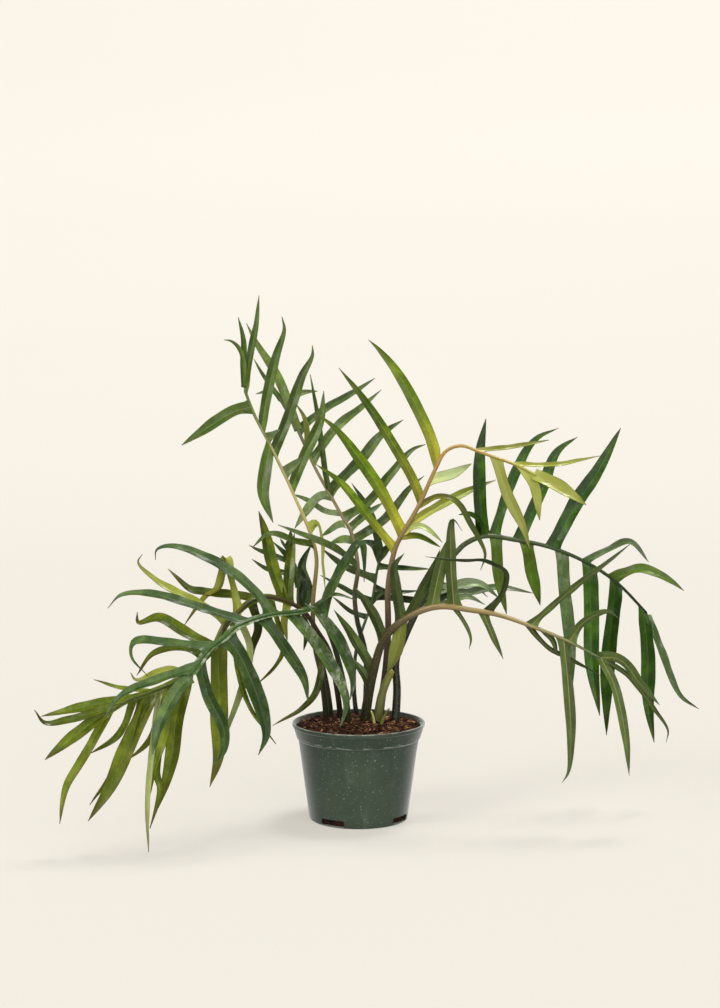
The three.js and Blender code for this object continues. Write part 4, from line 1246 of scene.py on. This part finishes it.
def add_lobe(bm, lobe, rib, face, finish, marks, settings, draw):
    """One strap-shaped lobe, folded along its midrib, whose root flares into the blade beside the rib"""
    leaf = settings.leaf
    full, *points = lobe
    half = leaf.breadth * full * MM / 2
    points = metres(points)
    root = rib.nearest(points[0])
    route = Route([rib.at(root), *points[1:]])
    distances = even(route.length, leaf.row)
    frames = route.frames(distances, face)
    rib_way = rib.tangent(root)
    rib_way *= 1 if rib_way.dot(frames[0][2]) > 0 else -1
    splay = smooth(0.25, 0.6, rib_way.cross(frames[0][1]).length)
    flare = finish["flare"] * MM * splay * min(1.0, full / 10)
    turn_in = 1.3 * (half + flare)
    fold = math.tan(math.radians(finish["fold"])) * (1 if finish["shows"] == "upper" else -1)
    twist = leaf.twist * draw.uniform(-1, 1)
    phases = (draw.uniform(0, 7), draw.uniform(0, 7), draw.uniform(0, 7))
    opening, flaring, swaying = 16 * MM, 7 * MM, 21 * MM
    slimmest = 0.3 * MM
    (tone, yellow, bleach), (veined, scuffed) = marks
    tone += draw.uniform(-0.13, 0.13)
    count = len(LOBE_ACROSS) - 1

    def spot(column, row):
        at, tangent, side, up = frames[row]
        along = distances[row]
        part = along / route.length
        across = LOBE_ACROSS[column]
        grown = smooth(0, opening, along)
        lean = splay * math.exp(-((along / turn_in) ** 2))
        sideways = side.lerp(rib_way, lean).normalized()
        turn = Matrix.Rotation(twist * part ** 1.6, 3, tangent)
        sway = 1 + 0.07 * math.sin(along / swaying + phases[2] + (2 if across > 0 else 0))
        reach = half * lobe_width(part) * sway + flare * math.exp(-along / flaring)
        reach = max(reach, slimmest)
        phase = phases[0] if across < 0 else phases[1]
        wave = leaf.wave * math.sin(2 * math.pi * along / leaf.wave_length + phase) * abs(across) ** 2
        lift = fold * reach * abs(across) ** 1.25 + wave * (1 - part ** 3)
        lift -= leaf.groove * math.copysign(1, fold) * math.exp(-((across / 0.1) ** 2)) * (1 - part)
        place = at + turn @ (sideways * (across * reach) + up * (lift * grown))
        return place, (across / 2 + 0.5, along * UV_PER_METRE), (tone, yellow, bleach, part)

    def fill(part, layers):
        verts, _ = grid_through(part, layers, count, len(distances) - 1, spot)
        for vert in verts:
            vert[layers.wear] = (veined, scuffed, 0, 0)

    add_batch(bm, fill)


def add_wing(bm, rib, start, face, finish, settings, draw):
    """The strip of blade that runs along both sides of the rib between the lobes"""
    wing = finish["wing"] * MM
    span = rib.length - start
    steps = even(span, settings.leaf.row)
    distances = [start + step for step in steps]
    frames = rib.frames(distances, face)
    phase = draw.uniform(0, 7)
    widening, narrowing, swaying = 14 * MM, 5 * MM, 13 * MM
    slimmest, below_middle = 0.2 * MM, 0.25 * MM

    def spot(column, row):
        at, _, side, up = frames[row]
        across = WING_ACROSS[column]
        taper = smooth(0, widening, steps[row]) * smooth(0, narrowing, span - steps[row])
        sway = 1 + 0.12 * math.sin(steps[row] / swaying + phase + across)
        reach = wing * taper * sway + slimmest
        place = at + side * (across * reach) - up * below_middle
        return place, (0.72 + across * 0.12, steps[row] * UV_PER_METRE), (0.5, 0, 0, 0)

    count = len(WING_ACROSS) - 1
    add_batch(bm, lambda part, layers: grid_through(part, layers, count, len(steps) - 1, spot))


def stalk_route(points, settings):
    """The stalk's middle, from a little below the soil's top"""
    foot = Vector(points[0]) * MM
    buried = Vector((foot.x, foot.y, settings.soil.level - STALK_DEPTH))
    return Route([buried, *metres(points)])


def add_stalk(bm, layers, points, radii, settings, draw):
    """The stalk and its rib: a taper with a sheathing foot and faint ridges, closed at both ends"""
    route = stalk_route(points, settings)
    row, sheathing, ridge, closing = 3.2 * MM, 42 * MM, 30 * MM, 2.5 * MM
    distances = even(route.length, row)
    foot, tip = radii[0] * MM, radii[1] * MM
    phase = draw.uniform(0, 7)

    def radius(distance, turn):
        part = distance / route.length
        if part in (0, 1):
            return 0
        swell = 1 + 0.16 * math.exp(-distance / sheathing)
        uneven = 1 + 0.03 * math.sin(3 * turn + phase + distance / ridge)
        end = smooth(0, closing, route.length - distance) ** 0.5
        return (foot + (tip - foot) * part) * swell * uneven * end

    return tube_through(
        bm, layers, settings.leaf.stalk_sides, distances, route, Vector((1, 0.2, 0)), radius,
        lambda distance: (0.5, 0, 0, distance / route.length),
    )


def make_frond(name, settings, seed):
    """One whole leaf with its stalk, as one piece"""
    table, finish = FRONDS[name], {**COMMON_FINISH, **FINISHES[name]}
    draw = random.Random(seed)
    face = Vector(table["face"])
    rib = Route(metres(table["stalk"]))
    bm = bmesh.new()
    layers = Layers(bm)
    roots = []
    for i, lobe in enumerate(table["lobes"]):
        marks = TINTS[finish["tints"].get(i, "plain")]
        add_lobe(bm, lobe, rib, face, finish, marks, settings, draw)
        roots.append(rib.nearest(Vector(lobe[1]) * MM))
    before_lobes = 18 * MM
    start = max(0.0, sorted(roots)[1] - before_lobes)
    add_wing(bm, rib, start, face, finish, settings, draw)
    bm.normal_update()
    thick = bmesh.ops.solidify(bm, geom=bm.faces[:], thickness=settings.leaf.thickness)
    for part in thick["geom"]:
        if isinstance(part, bmesh.types.BMFace):
            part.material_index = 1
    for part in add_stalk(bm, layers, table["stalk"], table["radii"], settings, draw):
        part.material_index = 2
    smooth_faces(bm)
    upper = blade_material(name + " upper", finish["blade"], finish, settings)
    under = blade_material(name + " under", finish["back"], finish, settings)
    blades = [upper, under] if finish["shows"] == "upper" else [under, upper]
    stalk = stalk_material(name + " stalk", finish["stalk"], settings)
    add_piece("leaf_" + name, bm, [*blades, stalk], finish["slot"], "frond_" + name)


def make_shoot(name, settings, seed):
    """A young shoot or old sheath, standing in the soil"""
    table, finish = SHOOTS[name], SHOOT_FINISHES[name]
    bm = bmesh.new()
    layers = Layers(bm)
    add_stalk(bm, layers, table["stalk"], table["radii"], settings, random.Random(seed))
    smooth_faces(bm)
    material = stalk_material(name + " skin", finish["stalk"], settings)
    add_piece("young_" + name, bm, [material], finish["slot"], name)


def make_leaves(settings):
    for seed, name in enumerate(FRONDS, start=FIRST_LEAF_SEED):
        make_frond(name, settings, seed)


def make_shoots(settings):
    for seed, name in enumerate(SHOOTS, start=FIRST_SHOOT_SEED):
        make_shoot(name, settings, seed)


# Stage

def make_backdrop(stage):
    """A round floor that sweeps up into a wall, seen from inside"""
    corners = [(0, 0, 0), (stage.radius, 0, stage.sweep), (stage.radius, stage.wall, 0)]
    floor = [Vector((out, 0, 0)) for out in (0, 0.4, 1.2)]
    bm = bmesh.new()
    spun(bm, floor + rounded_profile(corners)[1:], STAGE_STEPS)
    smooth_faces(bm)
    if next(iter(bm.faces)).normal.z < 0:
        bmesh.ops.reverse_faces(bm, faces=bm.faces[:])
    backdrop = object_of("backdrop", bm, [paper_material(stage)])
    for ray in ("diffuse", "glossy", "transmission", "shadow"):
        setattr(backdrop, "visible_" + ray, False)


def add_far_light(name, comes_from, spread, strength):
    """A light from far away, as even as through a large window. Spread is its width in degrees"""
    lamp = bpy.data.lights.new(name, "SUN")
    lamp.angle = math.radians(spread)
    lamp.energy = strength
    lamp.color = (1.0, 0.985, 0.965)
    light = placed(name, lamp)
    light.rotation_euler = Vector(comes_from).to_track_quat("Z", "Y").to_euler()


def make_stage(settings):
    stage = settings.stage
    scene = bpy.context.scene
    make_backdrop(stage)
    for name, (comes_from, spread) in LIGHTS.items():
        add_far_light(name + " light", comes_from, spread, getattr(stage, name))
    world = bpy.data.worlds.new("studio")
    world.use_nodes = True
    background = world.node_tree.nodes["Background"]
    background.inputs["Color"].default_value = (1.0, 0.99, 0.98, 1)
    background.inputs["Strength"].default_value = stage.fill
    scene.world = world
    lens = bpy.data.cameras.new("camera")
    lens.lens = stage.lens
    lens.sensor_width = 36
    camera = placed("camera", lens)
    camera.location = stage.camera_place
    camera.rotation_euler = (math.pi / 2 - stage.camera_dip, 0, 0)
    scene.camera = camera
    scene.view_settings.view_transform = "Standard"
    scene.view_settings.look = "None"


# Operators and panel

class Maker:
    """An operator that makes one part of the plant from the scene's settings"""

    def execute(self, context):
        self.make(context.scene.philodendron)
        return {"FINISHED"}


class PLANT_OT_stage(Maker, bpy.types.Operator):
    """Adds the backdrop, the lights and the camera"""
    bl_idname = "plant.make_stage"
    bl_label = "Stage"
    make = staticmethod(make_stage)


class PLANT_OT_pot(Maker, bpy.types.Operator):
    """Makes the nursery pot with its drain slots"""
    bl_idname = "plant.make_pot"
    bl_label = "Pot"
    make = staticmethod(make_pot)


class PLANT_OT_soil(Maker, bpy.types.Operator):
    """Makes the potting mix of bark and coir"""
    bl_idname = "plant.make_soil"
    bl_label = "Potting mix"
    make = staticmethod(make_soil)


class PLANT_OT_leaves(Maker, bpy.types.Operator):
    """Makes the nine cut leaves, each with its stalk"""
    bl_idname = "plant.make_leaves"
    bl_label = "Leaves"
    make = staticmethod(make_leaves)


class PLANT_OT_shoots(Maker, bpy.types.Operator):
    """Makes the young shoots and the old sheath at the soil"""
    bl_idname = "plant.make_shoots"
    bl_label = "Shoots"
    make = staticmethod(make_shoots)


class PLANT_PT_panel(bpy.types.Panel):
    """Sizes and colours of the plant, and a button for each part of it"""
    bl_idname = "PLANT_PT_panel"
    bl_label = "Philodendron"
    bl_space_type = "VIEW_3D"
    bl_region_type = "UI"
    bl_category = "Philodendron"

    def draw(self, context):
        settings = context.scene.philodendron
        for name in ("pot", "soil", "leaf", "colours", "stage"):
            group = getattr(settings, name)
            box = self.layout.box()
            box.label(text=name.capitalize())
            for key in group.bl_rna.properties.keys():
                if key not in ("rna_type", "name"):
                    box.prop(group, key)
        for operator in MAKERS:
            self.layout.operator(operator.bl_idname)


MAKERS = (PLANT_OT_stage, PLANT_OT_pot, PLANT_OT_soil, PLANT_OT_leaves, PLANT_OT_shoots)
SETTINGS = (PotSettings, SoilSettings, LeafSettings, LeafColours, StageSettings, PlantSettings)
CLASSES = (*SETTINGS, *MAKERS, PLANT_PT_panel)


def register():
    for each in CLASSES:
        bpy.utils.register_class(each)
    bpy.types.Scene.philodendron = PointerProperty(type=PlantSettings)


def unregister():
    del bpy.types.Scene.philodendron
    for each in reversed(CLASSES):
        bpy.utils.unregister_class(each)


def main():
    register()
    bpy.ops.plant.make_stage()
    bpy.ops.plant.make_pot()
    bpy.ops.plant.make_soil()
    bpy.ops.plant.make_leaves()
    bpy.ops.plant.make_shoots()


if __name__ == "__main__":
    main()
